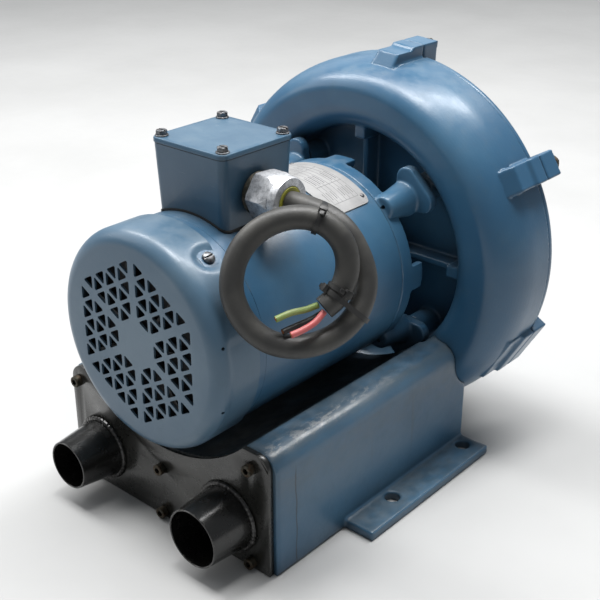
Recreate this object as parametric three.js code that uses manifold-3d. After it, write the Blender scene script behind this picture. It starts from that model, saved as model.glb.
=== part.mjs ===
// Side-channel (regenerative) ring blower with a direct-coupled electric motor, standing on a
// twin-duct silencer base. Millimetres, +Z up. The motor axis runs along Y: the fan end of the
// motor and the air tubes point to -Y, the blower ring is at +Y, the cable gland faces +X.
// The origin is on the floor under the motor axis, midway between the foot holes.
import * as THREE from 'three';
import * as BufferGeometryUtils from 'three/addons/utils/BufferGeometryUtils.js';
import Module from 'manifold-3d';

const wasm = await Module();
wasm.setup();

// ---------------------------------------------------------------- driving dimensions
const GAP = 0.3;                 // assembly gap between touching pieces
const AXIS_HEIGHT = 175;         // motor axis above the floor

// blower ring, radii from the motor axis
const RIM_RADIUS = 171.7;
const SPLIT_Y = 122.5;           // joint face between housing and cover
const SHOULDER_Y = 99.4;         // where the straight rim turns into the rounded front
const CREST_Y = 50.4;            // foremost line of the ring
const CREST_OUTER_RADIUS = 147.2;
const CREST_INNER_RADIUS = 135;
const MOUTH_RADIUS = 112;        // mouth of the central recess
const MOUTH_Y = 72;
const FLOOR_FRONT_Y = 88;        // floor of the central recess
const FLOOR_BACK_Y = 96;
const CHAMBER_RADIUS = 160;      // impeller chamber
const IMPELLER_RADIUS = 158;
const CHANNEL_INNER_RADIUS = 118;
const RING_WALL = 5.6;
const PORT_X = 77;
const PORT_HEIGHT = 60;
const PORT_RADIUS = 19;
const STRIPPER_HALF_ANGLE = 12;  // degrees of channel closed at the bottom, between the ports

// bolt lugs around the ring: angle from +X, half width, outermost face
const LUGS = [
  { angle: 86, halfWidth: 12, face: 183 },
  { angle: 31, halfWidth: 12, face: 183 },
  { angle: -30, halfWidth: 26, face: 174.5 },
  { angle: -66, halfWidth: 12, face: 177 },
  { angle: -150, halfWidth: 26, face: 174.5 },
  { angle: 149, halfWidth: 12, face: 183 },
];
const LUG_FRONT_Y = 80;
const LUG_STEP_Y = 104;
const LUG_BACK_Y = 145;
const LUG_BOLT_INSET = 8.5;      // bolt line below the lug face
const COVER_FLANGE_RADIUS = 170.8;
const COVER_FLANGE_BACK_Y = 129;
const HUB_RADIUS = 36;           // hub of the recess, round the shaft
const HUB_FRONT_Y = 68;
const SEAL_BORE = 21;
const SEAL_FRONT_Y = 79;
const SEAL_BACK_Y = 87;
const VANE_COUNT = 24;           // impeller
const VANE_FRONT_Y = 99;
const IMPELLER_BACK_Y = 121.5;
const IMPELLER_HUB_RADIUS = 24;
const IMPELLER_WEB_Y = [107, 113];

// motor
const SHELL_RADIUS = 90.5;
const SHELL_WALL = 5;
const SHELL_FRONT_Y = -163;
const SHELL_BACK_Y = 12;
const BRACKET_BACK_Y = 42;
const BRACKET_RIM_Y = 27;
const EAR_RADIUS = 98.7;         // bolt circle of the four motor ears
const EAR_FRONT_Y = 46;
const EAR_BACK_Y = 56;
const EAR_REACH = 115;           // outermost radius of an ear
const EAR_TIP_ANGLE = 7;         // degrees from the middle of an ear to each of its outer corners
const EAR_TIP_RADIUS = 10;
const EAR_ROOT_RADIUS = 92;
const BOSS_AXIS_RADIUS = 89;     // tapering boss that carries an ear
const STUD_FRONT_Y = 41;         // motor studs, with a hex collar between ear and housing boss
const STUD_BACK_Y = 80;
const COLLAR_BACK_Y = 61.3;
const BOLT_RADIUS = 4;           // M8
const BOLT_HOLE_RADIUS = 4.6;
const TAPPED_RADIUS = 4.4;
const HEAD_FLATS = 13;
const HEAD_HEIGHT = 5.3;
const COVER_FACE_Y = -215.6;     // fan cover
const COVER_EDGE_Y = -172;
const COVER_RADIUS = 93.3;
const COVER_WALL = 2;
const COVER_ROUND = 13.3;
const FAN_SCREW_Y = -181;
const FAN_SCREW_ANGLES = [57, 177, 297];
const SHAFT_RADIUS = 12.2;
const BEARING_BORE = 12.5;
const INNER_RACE_RADIUS = 15;
const OUTER_RACE_RADIUS = 23;
const BEARING_RADIUS = 25.7;
const DRIVE_BEARING_Y = 36;      // bearing centres
const FAN_BEARING_Y = -173;
const BALL_PITCH_RADIUS = 19;
const BALL_RADIUS = 3.7;
const BALL_COUNT = 8;
const BEARING_HALF_WIDTH = 7.5;
const STATOR_BORE = 48.8;
const STATOR_FRONT_Y = -120;
const STATOR_BACK_Y = -20;
const SLOT_COUNT = 12;           // stator slots
const BRACKET_WALL = 7;          // end brackets
const FAN_BRACKET_FRONT_Y = -189;
const FAN_BLADE_COUNT = 7;

// stand
const BASE_RIGHT = 126.7;        // the casting is wider on its right side
const BASE_LEFT = -117.5;
const BASE_FRONT_Y = -191.7;
const BASE_BACK_Y = 69.3;
const DUCT_TOP = 110.6;          // height of the two ducts
const TROUGH_RADIUS = 135.5;     // trough under the motor
const TROUGH_CENTRE_HEIGHT = 207;
const PLATE_FRONT_Y = -197;
const PLATE_RIGHT = 122.5;
const PLATE_LEFT = -113.5;
const TUBE_X = 77;
const TUBE_HEIGHT = 38.2;
const TUBE_MOUTH_Y = -237.3;
const TUBE_WALL = 1.6;
const INLET = { x: -TUBE_X, mouthRadius: 21.8, rootRadius: 26.5, plateBore: 20 };
const OUTLET = { x: TUBE_X, mouthRadius: 25.5, rootRadius: 28.5, plateBore: 24 };
const FOAM_INNER_RADIUS = 24;    // silencer liners
const FOAM_OUTER_RADIUS = 31;
const FOAM_HEIGHT = 46;
const FOAM_FRONT_Y = -185;
const FOAM_BACK_Y = 38;
const FOOT_EDGE_X = 155.8;
const FOOT_FRONT_Y = -107.6;
const FOOT_THICKNESS = 8.8;
const FOOT_HOLE_X = 137;
const FOOT_HOLE_SPACING = 110;
const FOOT_HOLE_RADIUS = 7;
const BASE_WALL = 7;
const PLATE_SCREWS = [[-104, 96], [104, 96], [0, 50], [-104, 7], [104, 7], [0, 6]];
const PLATE_HOLE_RADIUS = 3.4;

// junction box
const BOX_Y = -113.5;
const BOX_HALF = 39.9;           // at its top; the walls draw in towards the motor
const BOX_FOOT_HALF = 37.2;
const BOX_FOOT_HEIGHT = 240;
const BOX_TOP = 316.5;
const BOX_CORNER = 7;
const BOX_FLOOR_HEIGHT = 273;
const LID_HALF = 40.6;
const LID_TOP = 321.4;
const LID_SCREW_OFFSET = 33.6;
const LID_CORNERS = [[-1, -1], [1, -1], [1, 1], [-1, 1]];
const CONDUIT_RADIUS = 12;       // cable hole between box and motor
const GLAND_Y = -117;
const GLAND_HEIGHT = 283.5;
const GLAND_NOSE_X = 74.5;
const GLAND_FLATS = 37;

// power cable: outer radius, and the route of its centre from the gland to its cut end
const CABLE_RADIUS = 9;
const CABLE_ROUTE = [
  [74.8, -117, 283.5], [86, -116.6, 283.8], [97, -116, 283], [108.5, -114.8, 281], [118.5, -113.6, 277],
  [128, -112.6, 270], [135.5, -112, 260.5], [142, -112.5, 250], [147, -115, 238.5], [150, -121.5, 227.5],
  [150.5, -131, 217.5], [147.5, -142.5, 209], [142, -155.5, 203.5], [135, -167.5, 201.5],
  [125.5, -179, 202.5], [114.5, -187.5, 206.5], [103, -193.5, 215.5], [93.5, -196, 227.5], [87, -195, 241],
  [84, -190, 255], [84.5, -182, 268], [89, -172, 278.5], [97, -161.5, 286], [106.5, -151.5, 289.5],
  [116.5, -143, 289], [126.5, -136.5, 284.5], [135, -132.5, 276.5], [140.5, -131, 266.5],
  [143.5, -132.5, 255], [144, -137, 244], [142, -144, 234], [138, -152, 227.5],
];
const WIRES = {
  wire_green: [[134.2, -154.2, 229.4], [130.5, -163.5, 228], [126, -175, 228], [121.5, -186, 225.5]],
  wire_red: [[141.1, -155.4, 226.6], [140.5, -165, 221.5], [138, -175.5, 218.5], [134.5, -184, 216.5]],
  wire_black: [[136.6, -150.4, 223.3], [133.5, -160, 220], [129, -171.5, 217.5], [125.5, -183, 215.5]],
};
const WIRE_RADIUS = 2.4;

// facets of the large round bodies
const RING_SIDES = 32;
const MOTOR_SIDES = 36;
const SMALL_SIDES = 8;           // bolt holes and shanks

// ---------------------------------------------------------------- materials
const finish = (color, roughness, metalness) => ({ color, roughness, metalness });
const BLUE = finish(0x4a6f92, 0.45, 0.1);
const BLACK_PAINT = finish(0x1b1b1a, 0.4, 0.2);
const STEEL = finish(0x8d8f90, 0.35, 0.9);
const DARK_STEEL = finish(0x3a3431, 0.6, 0.7);
const ZINC = finish(0xb7b9ba, 0.35, 0.85);
const ALUMINIUM = finish(0xa7abae, 0.45, 0.8);
const LAMINATION = finish(0x55585c, 0.5, 0.8);
const COPPER = finish(0xa5572b, 0.4, 0.7);
const PLASTIC_DARK = finish(0x22262a, 0.5, 0);
const RUBBER = finish(0x1c1c1c, 0.8, 0);
const FOAM = finish(0x3f4143, 0.95, 0);
const LABEL = finish(0xdfe1df, 0.4, 0.3);
const JACKET = finish(0x2c2b29, 0.65, 0);
const GREEN_WIRE = finish(0x7d9a4b, 0.5, 0);
const RED_WIRE = finish(0xc4585c, 0.5, 0);
const BLACK_WIRE = finish(0x1f1f1f, 0.5, 0);

// ---------------------------------------------------------------- solids
const rad = THREE.MathUtils.degToRad;

function solid(geometry) {
  const bare = geometry.clone();
  bare.deleteAttribute('normal');
  bare.deleteAttribute('uv');
  const merged = BufferGeometryUtils.mergeVertices(bare, 1e-4);
  const position = merged.attributes.position;
  const index = Array.from(merged.index.array);
  const a = new THREE.Vector3();
  const b = new THREE.Vector3();
  const c = new THREE.Vector3();
  const triangles = [];
  let volume = 0;
  for (let i = 0; i < index.length; i += 3) {
    const [p, q, r] = [index[i], index[i + 1], index[i + 2]];
    if (p === q || q === r || p === r) continue;
    a.fromBufferAttribute(position, p);
    b.fromBufferAttribute(position, q);
    c.fromBufferAttribute(position, r);
    volume += a.dot(b.cross(c));
    triangles.push([p, q, r]);
  }
  const outward = volume > 0 ? triangles : triangles.map(([p, q, r]) => [p, r, q]);
  return new wasm.Manifold(new wasm.Mesh({
    numProp: 3,
    vertProperties: new Float32Array(position.array),
    triVerts: new Uint32Array(outward.flat()),
  }));
}

// a body turned about the Y axis from [radius, y] points; the outline closes on itself
function turned(outline, segments) {
  const points = outline.map(([radius, y]) => new THREE.Vector2(radius, y));
  const onAxis = outline[0][0] === 0 && outline.at(-1)[0] === 0;
  if (!onAxis) points.push(points[0].clone());
  return solid(new THREE.LatheGeometry(points, segments));
}

// a quarter of an ellipse in [radius, y] points, from one angle to another
function arcPoints(centreRadius, centreY, halfRadius, halfY, from, to, steps) {
  const points = [];
  for (let i = 0; i <= steps; i++) {
    const angle = rad(from + (to - from) * i / steps);
    points.push([centreRadius + halfRadius * Math.cos(angle), centreY + halfY * Math.sin(angle)]);
  }
  return points;
}

function cylinderY(radius, y0, y1, x = 0, z = 0, segments = 24) {
  const geometry = new THREE.CylinderGeometry(radius, radius, y1 - y0, segments);
  return solid(geometry.translate(x, (y0 + y1) / 2, z));
}

function cylinderZ(radius, z0, z1, x = 0, y = 0, segments = 24) {
  const geometry = new THREE.CylinderGeometry(radius, radius, z1 - z0, segments).rotateX(Math.PI / 2);
  return solid(geometry.translate(x, y, (z0 + z1) / 2));
}

function cylinderX(radius, x0, x1, y = 0, z = 0, segments = 24) {
  const geometry = new THREE.CylinderGeometry(radius, radius, x1 - x0, segments).rotateZ(Math.PI / 2);
  return solid(geometry.translate((x0 + x1) / 2, y, z));
}

function block(x0, x1, y0, y1, z0, z1) {
  const geometry = new THREE.BoxGeometry(x1 - x0, y1 - y0, z1 - z0);
  return solid(geometry.translate((x0 + x1) / 2, (y0 + y1) / 2, (z0 + z1) / 2));
}

// a shape drawn in x and z, extruded along Y
function extrudedY(shape, y0, y1, curveSegments = 8) {
  const geometry = new THREE.ExtrudeGeometry(shape, { depth: y1 - y0, bevelEnabled: false, curveSegments });
  return solid(geometry.rotateX(Math.PI / 2).translate(0, y1, 0));
}

// a shape drawn in x and y, extruded along Z
function extrudedZ(shape, z0, z1, curveSegments = 4) {
  const geometry = new THREE.ExtrudeGeometry(shape, { depth: z1 - z0, bevelEnabled: false, curveSegments });
  return solid(geometry.translate(0, 0, z0));
}

function polygon(points) {
  return new THREE.Shape(points.map(([x, y]) => new THREE.Vector2(x, y)));
}

// a rectangle with round corners, centred on x, y
function roundedRectangle(halfX, halfY, radius, x = 0, y = 0) {
  const shape = new THREE.Shape();
  const corners = [[1, -1, -90], [1, 1, 0], [-1, 1, 90], [-1, -1, 180]];
  for (const [sx, sy, start] of corners) {
    const cx = x + sx * (halfX - radius);
    const cy = y + sy * (halfY - radius);
    shape.absarc(cx, cy, radius, rad(start), rad(start + 90), false);
  }
  return shape;
}

// a piece built around +X at the motor axis, turned to its angle about the axis
function around(piece, angle) {
  return piece.rotate([0, -angle, 0]);
}

// a wedge of the space around the motor axis, between two angles
function wedge(from, to, y0, y1, reach = 260) {
  const middle = (from + to) / 2;
  const half = (to - from) / 2;
  const side = reach * Math.tan(rad(half));
  return around(extrudedY(polygon([[0, 0], [reach, -side], [reach, side]]), y0, y1), middle);
}

function geometryOf(manifold) {
  const mesh = manifold.getMesh();
  const geometry = new THREE.BufferGeometry();
  geometry.setAttribute('position', new THREE.BufferAttribute(mesh.vertProperties, 3));
  geometry.setIndex(new THREE.BufferAttribute(mesh.triVerts, 1));
  geometry.computeVertexNormals();
  return geometry;
}

function part(name, manifold, look) {
  const mesh = new THREE.Mesh(geometryOf(manifold), new THREE.MeshStandardMaterial(look));
  mesh.name = name;
  return mesh;
}

// ---------------------------------------------------------------- blower ring
// the ring's outside as one solid, grown by a margin
function ringEnvelope(margin, segments) {
  const outer = arcPoints(CREST_OUTER_RADIUS, SHOULDER_Y, RIM_RADIUS - CREST_OUTER_RADIUS + margin,
    SHOULDER_Y - CREST_Y + margin, -90, 0, 3);
  const inner = arcPoints(CREST_INNER_RADIUS, MOUTH_Y, CREST_INNER_RADIUS - MOUTH_RADIUS + margin,
    MOUTH_Y - CREST_Y + margin, 180, 270, 2);
  return turned([[0, MOUTH_Y], ...inner, ...outer, [RIM_RADIUS + margin, SPLIT_Y], [0, SPLIT_Y]], segments);
}

function channelCavity(segments) {
  const outer = arcPoints(CREST_OUTER_RADIUS, SHOULDER_Y, CHAMBER_RADIUS - CREST_OUTER_RADIUS,
    SHOULDER_Y - CREST_Y - RING_WALL, -90, 0, 2);
  const inner = arcPoints(CREST_INNER_RADIUS, MOUTH_Y + RING_WALL, CREST_INNER_RADIUS - CHANNEL_INNER_RADIUS,
    MOUTH_Y - CREST_Y, 180, 270, 1);
  const back = FLOOR_BACK_Y + 1;
  return turned([[CHANNEL_INNER_RADIUS, back], ...inner, ...outer, [CHAMBER_RADIUS, back]], segments);
}

function lugBlock(lug, y0, y1, face) {
  return around(block(150, face, y0, y1, -lug.halfWidth, lug.halfWidth), lug.angle);
}

function lugBoltRadius(lug) {
  return Math.max(lug.face - LUG_BOLT_INSET, RIM_RADIUS - 6);
}

function housing() {
  const segments = RING_SIDES;
  const recess = cylinderY(MOUTH_RADIUS, 0, FLOOR_FRONT_Y, 0, 0, segments);
  let body = ringEnvelope(0, segments).subtract(recess);
  body = body.add(cylinderY(HUB_RADIUS, HUB_FRONT_Y, FLOOR_FRONT_Y + 1, 0, 0, 20));
  for (const lug of LUGS) {
    const nose = [[150, LUG_FRONT_Y - 4], [lug.face - 14, LUG_FRONT_Y - 4], [lug.face - 3, LUG_FRONT_Y + 4],
      [lug.face - 3, LUG_STEP_Y], [lug.face, LUG_STEP_Y + 3], [lug.face, SPLIT_Y], [150, SPLIT_Y]];
    const depth = 2 * lug.halfWidth;
    const extrusion = new THREE.ExtrudeGeometry(polygon(nose), { depth, bevelEnabled: false });
    body = body.add(around(solid(extrusion.translate(0, 0, -lug.halfWidth)), lug.angle));
  }
  // motor mounting bosses and the ribs between them
  for (let k = 0; k < 4; k++) {
    const boss = cylinderY(13, COLLAR_BACK_Y + GAP, FLOOR_FRONT_Y + 1, EAR_RADIUS, 0, 12);
    body = body.add(around(boss, 45 + 90 * k));
    const rib = block(HUB_RADIUS - 2, MOUTH_RADIUS + 1, 71, FLOOR_FRONT_Y + 1, -2.5, 2.5);
    const ribPad = block(103, MOUTH_RADIUS + 1, 66, FLOOR_FRONT_Y + 1, -5, 5);
    body = body.add(around(rib.add(ribPad), 90 * k));
  }
  // hollow: impeller chamber, side channel broken by the stripper, ports, seal bore, tapped holes
  const chamber = cylinderY(CHAMBER_RADIUS, FLOOR_BACK_Y, SPLIT_Y + 1, 0, 0, segments);
  const stripper = wedge(-90 - STRIPPER_HALF_ANGLE, -90 + STRIPPER_HALF_ANGLE, 0, FLOOR_BACK_Y);
  body = body.subtract(chamber).subtract(channelCavity(segments).subtract(stripper));
  body = body.subtract(cylinderY(SEAL_BORE, HUB_FRONT_Y - 1, FLOOR_BACK_Y + 1, 0, 0, 20));
  for (const x of [-PORT_X, PORT_X]) {
    body = body.subtract(cylinderY(PORT_RADIUS, 40, 80, x, PORT_HEIGHT - AXIS_HEIGHT, 16));
  }
  for (let k = 0; k < 4; k++) {
    const hole = cylinderY(BOLT_HOLE_RADIUS, EAR_BACK_Y, STUD_BACK_Y + 1, EAR_RADIUS, 0, SMALL_SIDES);
    body = body.subtract(around(hole, 45 + 90 * k));
  }
  for (const lug of LUGS) {
    const bolt = cylinderY(TAPPED_RADIUS, SPLIT_Y - 16, SPLIT_Y + 1, lugBoltRadius(lug), 0, SMALL_SIDES);
    body = body.subtract(around(bolt, lug.angle));
  }
  return body;
}

function cover() {
  const segments = RING_SIDES;
  const front = SPLIT_Y + GAP;
  const back = COVER_FLANGE_BACK_Y;
  const bulge = arcPoints(130, back, 29, 28, 0, 90, 3);
  const inside = arcPoints(118, back, 14, 22, 90, 180, 2);
  const outline = [[0, front], [COVER_FLANGE_RADIUS, front], [COVER_FLANGE_RADIUS, back], ...bulge,
    ...inside, [88, 131], [34, 131], [34, 140], [0, 140]];
  let body = turned(outline, segments);
  for (let k = 0; k < 6; k++) {
    body = body.add(around(block(30, 100, back - 2, 137, -2.5, 2.5), 30 + 60 * k));
  }
  for (const lug of LUGS) {
    body = body.add(lugBlock(lug, front, LUG_BACK_Y, lug.face));
  }
  const vault = arcPoints(132, back, 21, 22, 0, 180, 4).filter(([radius]) => radius > CHANNEL_INNER_RADIUS);
  const cavity = [[CHANNEL_INNER_RADIUS, front - 1], [154, front - 1], ...vault, [CHANNEL_INNER_RADIUS, 145]];
  const stripper = wedge(-90 - STRIPPER_HALF_ANGLE, -90 + STRIPPER_HALF_ANGLE, front - 2, 200);
  body = body.subtract(turned(cavity, segments).subtract(stripper));
  body = body.subtract(cylinderY(22, front - 1, 135, 0, 0, 16));
  for (const lug of LUGS) {
    const hole = cylinderY(BOLT_HOLE_RADIUS, front - 1, LUG_BACK_Y + 1, lugBoltRadius(lug), 0, SMALL_SIDES);
    body = body.subtract(around(hole, lug.angle));
  }
  return body;
}

// ---------------------------------------------------------------- fasteners
// a hex bolt along Y, its head towards +Y
function hexBolt(shankLength) {
  const head = cylinderY(HEAD_FLATS / Math.sqrt(3), 0, HEAD_HEIGHT, 0, 0, 6);
  return head.add(cylinderY(BOLT_RADIUS, -shankLength, 1, 0, 0, 6));
}

// a motor stud along Y with its hex collar
function motorStud() {
  const collar = cylinderY(HEAD_FLATS / Math.sqrt(3), EAR_BACK_Y + GAP, COLLAR_BACK_Y, 0, 0, 6);
  return collar.add(cylinderY(BOLT_RADIUS, STUD_FRONT_Y, STUD_BACK_Y, 0, 0, 6));
}

// an M6 socket head screw along Y, its head towards -Y
function socketScrew() {
  const head = cylinderY(5, -6, 0, 0, 0, 10);
  const socket = cylinderY(2.6, -7, -2.7, 0, 0, 6);
  return head.add(cylinderY(3, -1, 20, 0, 0, 6)).subtract(socket);
}

// ---------------------------------------------------------------- rotating assembly
function impeller() {
  const bore = 9.9;
  const back = IMPELLER_BACK_Y;
  const hub = IMPELLER_HUB_RADIUS;
  const hubFront = VANE_FRONT_Y - 0.5;
  const [webFront, webBack] = IMPELLER_WEB_Y;
  const rimInner = CHANNEL_INNER_RADIUS;
  const rimOuter = rimInner + 4;
  let body = turned([[bore, hubFront], [hub, hubFront], [hub, webFront], [rimInner, webFront],
    [rimInner, VANE_FRONT_Y], [rimOuter, VANE_FRONT_Y], [rimOuter, webFront + 0.5],
    [IMPELLER_RADIUS, webFront + 0.5], [IMPELLER_RADIUS, webBack - 0.5], [rimOuter, webBack - 0.5],
    [rimOuter, back], [rimInner, back], [rimInner, webBack], [hub, webBack], [hub, back], [bore, back]], 24);
  const vane = block(120, IMPELLER_RADIUS - 0.5, VANE_FRONT_Y, back, -1.4, 1.4);
  for (let k = 0; k < VANE_COUNT; k++) {
    body = body.add(around(vane, 360 * k / VANE_COUNT));
  }
  return body;
}

function impellerNut() {
  const nut = cylinderY(19 / Math.sqrt(3), 121.8, 131, 0, 0, 6);
  return nut.subtract(cylinderY(6.3, 120, 132, 0, 0, 16));
}

function motorShaft() {
  const fanSeat = 9;
  const core = 14;
  const impellerSeat = 9.5;
  const thread = 6;
  return turned([[0, -206], [fanSeat, -206], [fanSeat, -188], [SHAFT_RADIUS, -188], [SHAFT_RADIUS, -158],
    [core, -158], [core, 24], [SHAFT_RADIUS, 24], [SHAFT_RADIUS, 97], [impellerSeat, 98],
    [impellerSeat, 119], [thread, 119.5], [thread, 133], [0, 133]], 16);
}

function rotorCore() {
  return turned([[14.3, -122], [46, -127], [48, -124], [48, -16], [46, -13], [14.3, -18]], 24);
}

function coolingFan() {
  let body = turned([[9.3, -206], [17, -206], [17, -196], [76, -194], [76, -192.2], [9.3, -192.2]], 21);
  for (let k = 0; k < FAN_BLADE_COUNT; k++) {
    body = body.add(around(block(15, 76, -208, -193, -1.2, 1.2), 360 * k / FAN_BLADE_COUNT));
  }
  return body;
}

// ---------------------------------------------------------------- bearings
function bearingRing(inner, outer, y) {
  const half = BEARING_HALF_WIDTH;
  return turned([[inner, y - half], [outer, y - half], [outer, y + half], [inner, y + half]], 24);
}

function ballCage(y) {
  let body = turned([[18.2, y - 1.2], [19.8, y - 1.2], [19.8, y + 1.2], [18.2, y + 1.2]], 16);
  for (let k = 0; k < BALL_COUNT; k++) {
    const ball = solid(new THREE.SphereGeometry(BALL_RADIUS, 6, 4).translate(BALL_PITCH_RADIUS, y, 0));
    body = body.add(around(ball, 360 * k / BALL_COUNT));
  }
  return body;
}

// ---------------------------------------------------------------- motor
function motorShell() {
  const inner = SHELL_RADIUS - SHELL_WALL;
  const tube = turned([[inner, SHELL_FRONT_Y], [SHELL_RADIUS, SHELL_FRONT_Y], [SHELL_RADIUS, SHELL_BACK_Y],
    [inner, SHELL_BACK_Y]], MOTOR_SIDES);
  return tube.subtract(cylinderZ(CONDUIT_RADIUS, 60, 110, 0, BOX_Y, 14));
}

// an ear of the drive end bracket, with the tapering boss that carries it, around +X
function bracketEar(front) {
  const corner = cylinderY(EAR_TIP_RADIUS, EAR_FRONT_Y, EAR_BACK_Y, EAR_REACH - EAR_TIP_RADIUS, 0, 12);
  const root = cylinderY(12, EAR_FRONT_Y, EAR_BACK_Y, EAR_ROOT_RADIUS, 0, 12);
  const flange = wasm.Manifold.hull([around(corner, -EAR_TIP_ANGLE), around(corner, EAR_TIP_ANGLE), root]);
  const tip = cylinderY(10.5, front + 3, front + 4, BOSS_AXIS_RADIUS, 0, 12);
  const foot = cylinderY(16, EAR_FRONT_Y - 1, EAR_FRONT_Y, BOSS_AXIS_RADIUS, 0, 12);
  const centreMark = cylinderY(2, front, front + 9, BOSS_AXIS_RADIUS + 2.6, 0, SMALL_SIDES);
  return flange.add(wasm.Manifold.hull([tip, foot])).subtract(centreMark);
}

function driveEndBracket() {
  const front = SHELL_BACK_Y + GAP;
  const inner = SHELL_RADIUS - BRACKET_WALL;
  const toothHalfAngle = 7.5;
  const wallFront = BRACKET_RIM_Y - BRACKET_WALL;
  const hubRadius = 33;
  const hubBack = DRIVE_BEARING_Y + 9;
  const seatRadius = BEARING_RADIUS + GAP;
  const seatFront = DRIVE_BEARING_Y - BEARING_HALF_WIDTH - GAP;
  let body = turned([[inner, front], [SHELL_RADIUS, front], [SHELL_RADIUS, BRACKET_BACK_Y],
    [inner, BRACKET_BACK_Y], [inner, BRACKET_RIM_Y], [hubRadius, BRACKET_RIM_Y], [hubRadius, hubBack],
    [seatRadius, hubBack], [seatRadius, seatFront], [INNER_RACE_RADIUS, seatFront],
    [INNER_RACE_RADIUS, wallFront], [inner, wallFront]], MOTOR_SIDES);
  for (let k = 0; k < 4; k++) {
    const start = 90 * k + toothHalfAngle;
    const end = 90 * k + 90 - toothHalfAngle;
    const between = wedge(start, end, BRACKET_RIM_Y, BRACKET_BACK_Y + 1);
    body = body.subtract(between.subtract(cylinderY(SHELL_RADIUS - 20, 0, 60, 0, 0, 12)));
  }
  const inside = cylinderY(inner, front - 1, wallFront, 0, 0, MOTOR_SIDES)
    .add(cylinderY(inner, BRACKET_RIM_Y, EAR_BACK_Y + 1, 0, 0, MOTOR_SIDES));
  const ear = bracketEar(front).subtract(inside);
  const studHole = cylinderY(BOLT_HOLE_RADIUS, STUD_FRONT_Y - 1, EAR_BACK_Y + 1, EAR_RADIUS, 0, SMALL_SIDES);
  for (let k = 0; k < 4; k++) {
    body = body.add(around(ear, 45 + 90 * k)).subtract(around(studHole, 45 + 90 * k));
  }
  return body;
}

function fanEndBracket() {
  const back = SHELL_FRONT_Y - GAP;
  const front = FAN_BRACKET_FRONT_Y;
  const rim = SHELL_RADIUS;
  const inner = rim - 6;
  const hub = 33;
  const hubFront = FAN_BEARING_Y - 12;
  const wallFront = -176;
  const wallBack = -170;
  const seatRadius = BEARING_RADIUS + GAP;
  const seatFront = FAN_BEARING_Y - BEARING_HALF_WIDTH - GAP;
  let body = turned([[INNER_RACE_RADIUS, hubFront], [hub, hubFront], [hub, wallFront], [inner, wallFront],
    [inner, front], [rim, front], [rim, back], [inner, back], [inner, wallBack], [hub, wallBack],
    [hub, back], [seatRadius, back], [seatRadius, seatFront], [INNER_RACE_RADIUS, seatFront]], 24);
  for (const angle of FAN_SCREW_ANGLES) {
    body = body.subtract(around(cylinderX(2.4, 70, 100, FAN_SCREW_Y, 0, SMALL_SIDES), angle));
  }
  return body;
}

// triangular vents: six sectors, each three rows of an equilateral triangle lattice
function ventTriangles() {
  const pitch = 15.05;           // row pitch of the lattice
  const side = 2 * pitch / Math.sqrt(3);
  const inset = 1.45;            // half of the web between two vents
  const outset = 4.2;            // shift of each sector away from the centre
  const triangles = [];
  for (let sector = 0; sector < 6; sector++) {
    for (let row = 1; row <= 3; row++) {
      for (let k = 0; k < 2 * row + 1; k++) {
        const up = k % 2 === 0;
        const centre = (k - row) * side / 2;
        const near = outset + pitch * row + inset;
        const far = outset + pitch * (row + 1) - inset;
        const tip = up ? near + inset : far - inset;
        const foot = up ? far : near;
        const halfFoot = side / 2 - inset * Math.sqrt(3);
        triangles.push({ angle: 60 * sector, points: [[tip, centre], [foot, centre + halfFoot],
          [foot, centre - halfFoot]] });
      }
    }
  }
  return triangles;
}

function fanCover() {
  const flat = COVER_RADIUS - COVER_ROUND;
  const outer = arcPoints(flat, COVER_FACE_Y + COVER_ROUND, COVER_ROUND, COVER_ROUND, -90, 0, 3);
  const hollow = COVER_ROUND - COVER_WALL;
  const inner = arcPoints(flat, COVER_FACE_Y + COVER_ROUND, hollow, hollow, 0, -90, 1);
  let body = turned([[0, COVER_FACE_Y], ...outer, [COVER_RADIUS, COVER_EDGE_Y],
    [COVER_RADIUS - COVER_WALL, COVER_EDGE_Y], ...inner, [0, COVER_FACE_Y + COVER_WALL]], MOTOR_SIDES);
  const vents = ventTriangles().map(({ angle, points }) => around(
    extrudedY(polygon(points), COVER_FACE_Y - 1, COVER_FACE_Y + COVER_WALL + 1), angle));
  body = body.subtract(wasm.Manifold.union(vents));
  for (const angle of FAN_SCREW_ANGLES) {
    body = body.subtract(around(cylinderX(2.4, 80, 100, FAN_SCREW_Y, 0, SMALL_SIDES), angle));
  }
  return body;
}

function fanCoverScrew(angle) {
  const head = cylinderX(5, COVER_RADIUS + GAP, COVER_RADIUS + 4, FAN_SCREW_Y, 0, 10);
  const slot = block(COVER_RADIUS + 2.6, COVER_RADIUS + 5, FAN_SCREW_Y - 6, FAN_SCREW_Y + 6, -0.7, 0.7);
  const shank = cylinderX(2, 79, COVER_RADIUS + 1, FAN_SCREW_Y, 0, 6);
  return around(head.subtract(slot).add(shank), angle);
}

function statorCore() {
  const outer = SHELL_RADIUS - SHELL_WALL - GAP;
  let body = turned([[STATOR_BORE, STATOR_FRONT_Y], [outer, STATOR_FRONT_Y], [outer, STATOR_BACK_Y],
    [STATOR_BORE, STATOR_BACK_Y]], MOTOR_SIDES);
  const front = STATOR_FRONT_Y - 1;
  const back = STATOR_BACK_Y + 1;
  const slot = block(53, 70, front, back, -5, 5).add(block(40, 54, front, back, -1.5, 1.5));
  for (let k = 0; k < SLOT_COUNT; k++) {
    body = body.subtract(around(slot, 360 * (k + 0.5) / SLOT_COUNT));
  }
  return body;
}

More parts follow.
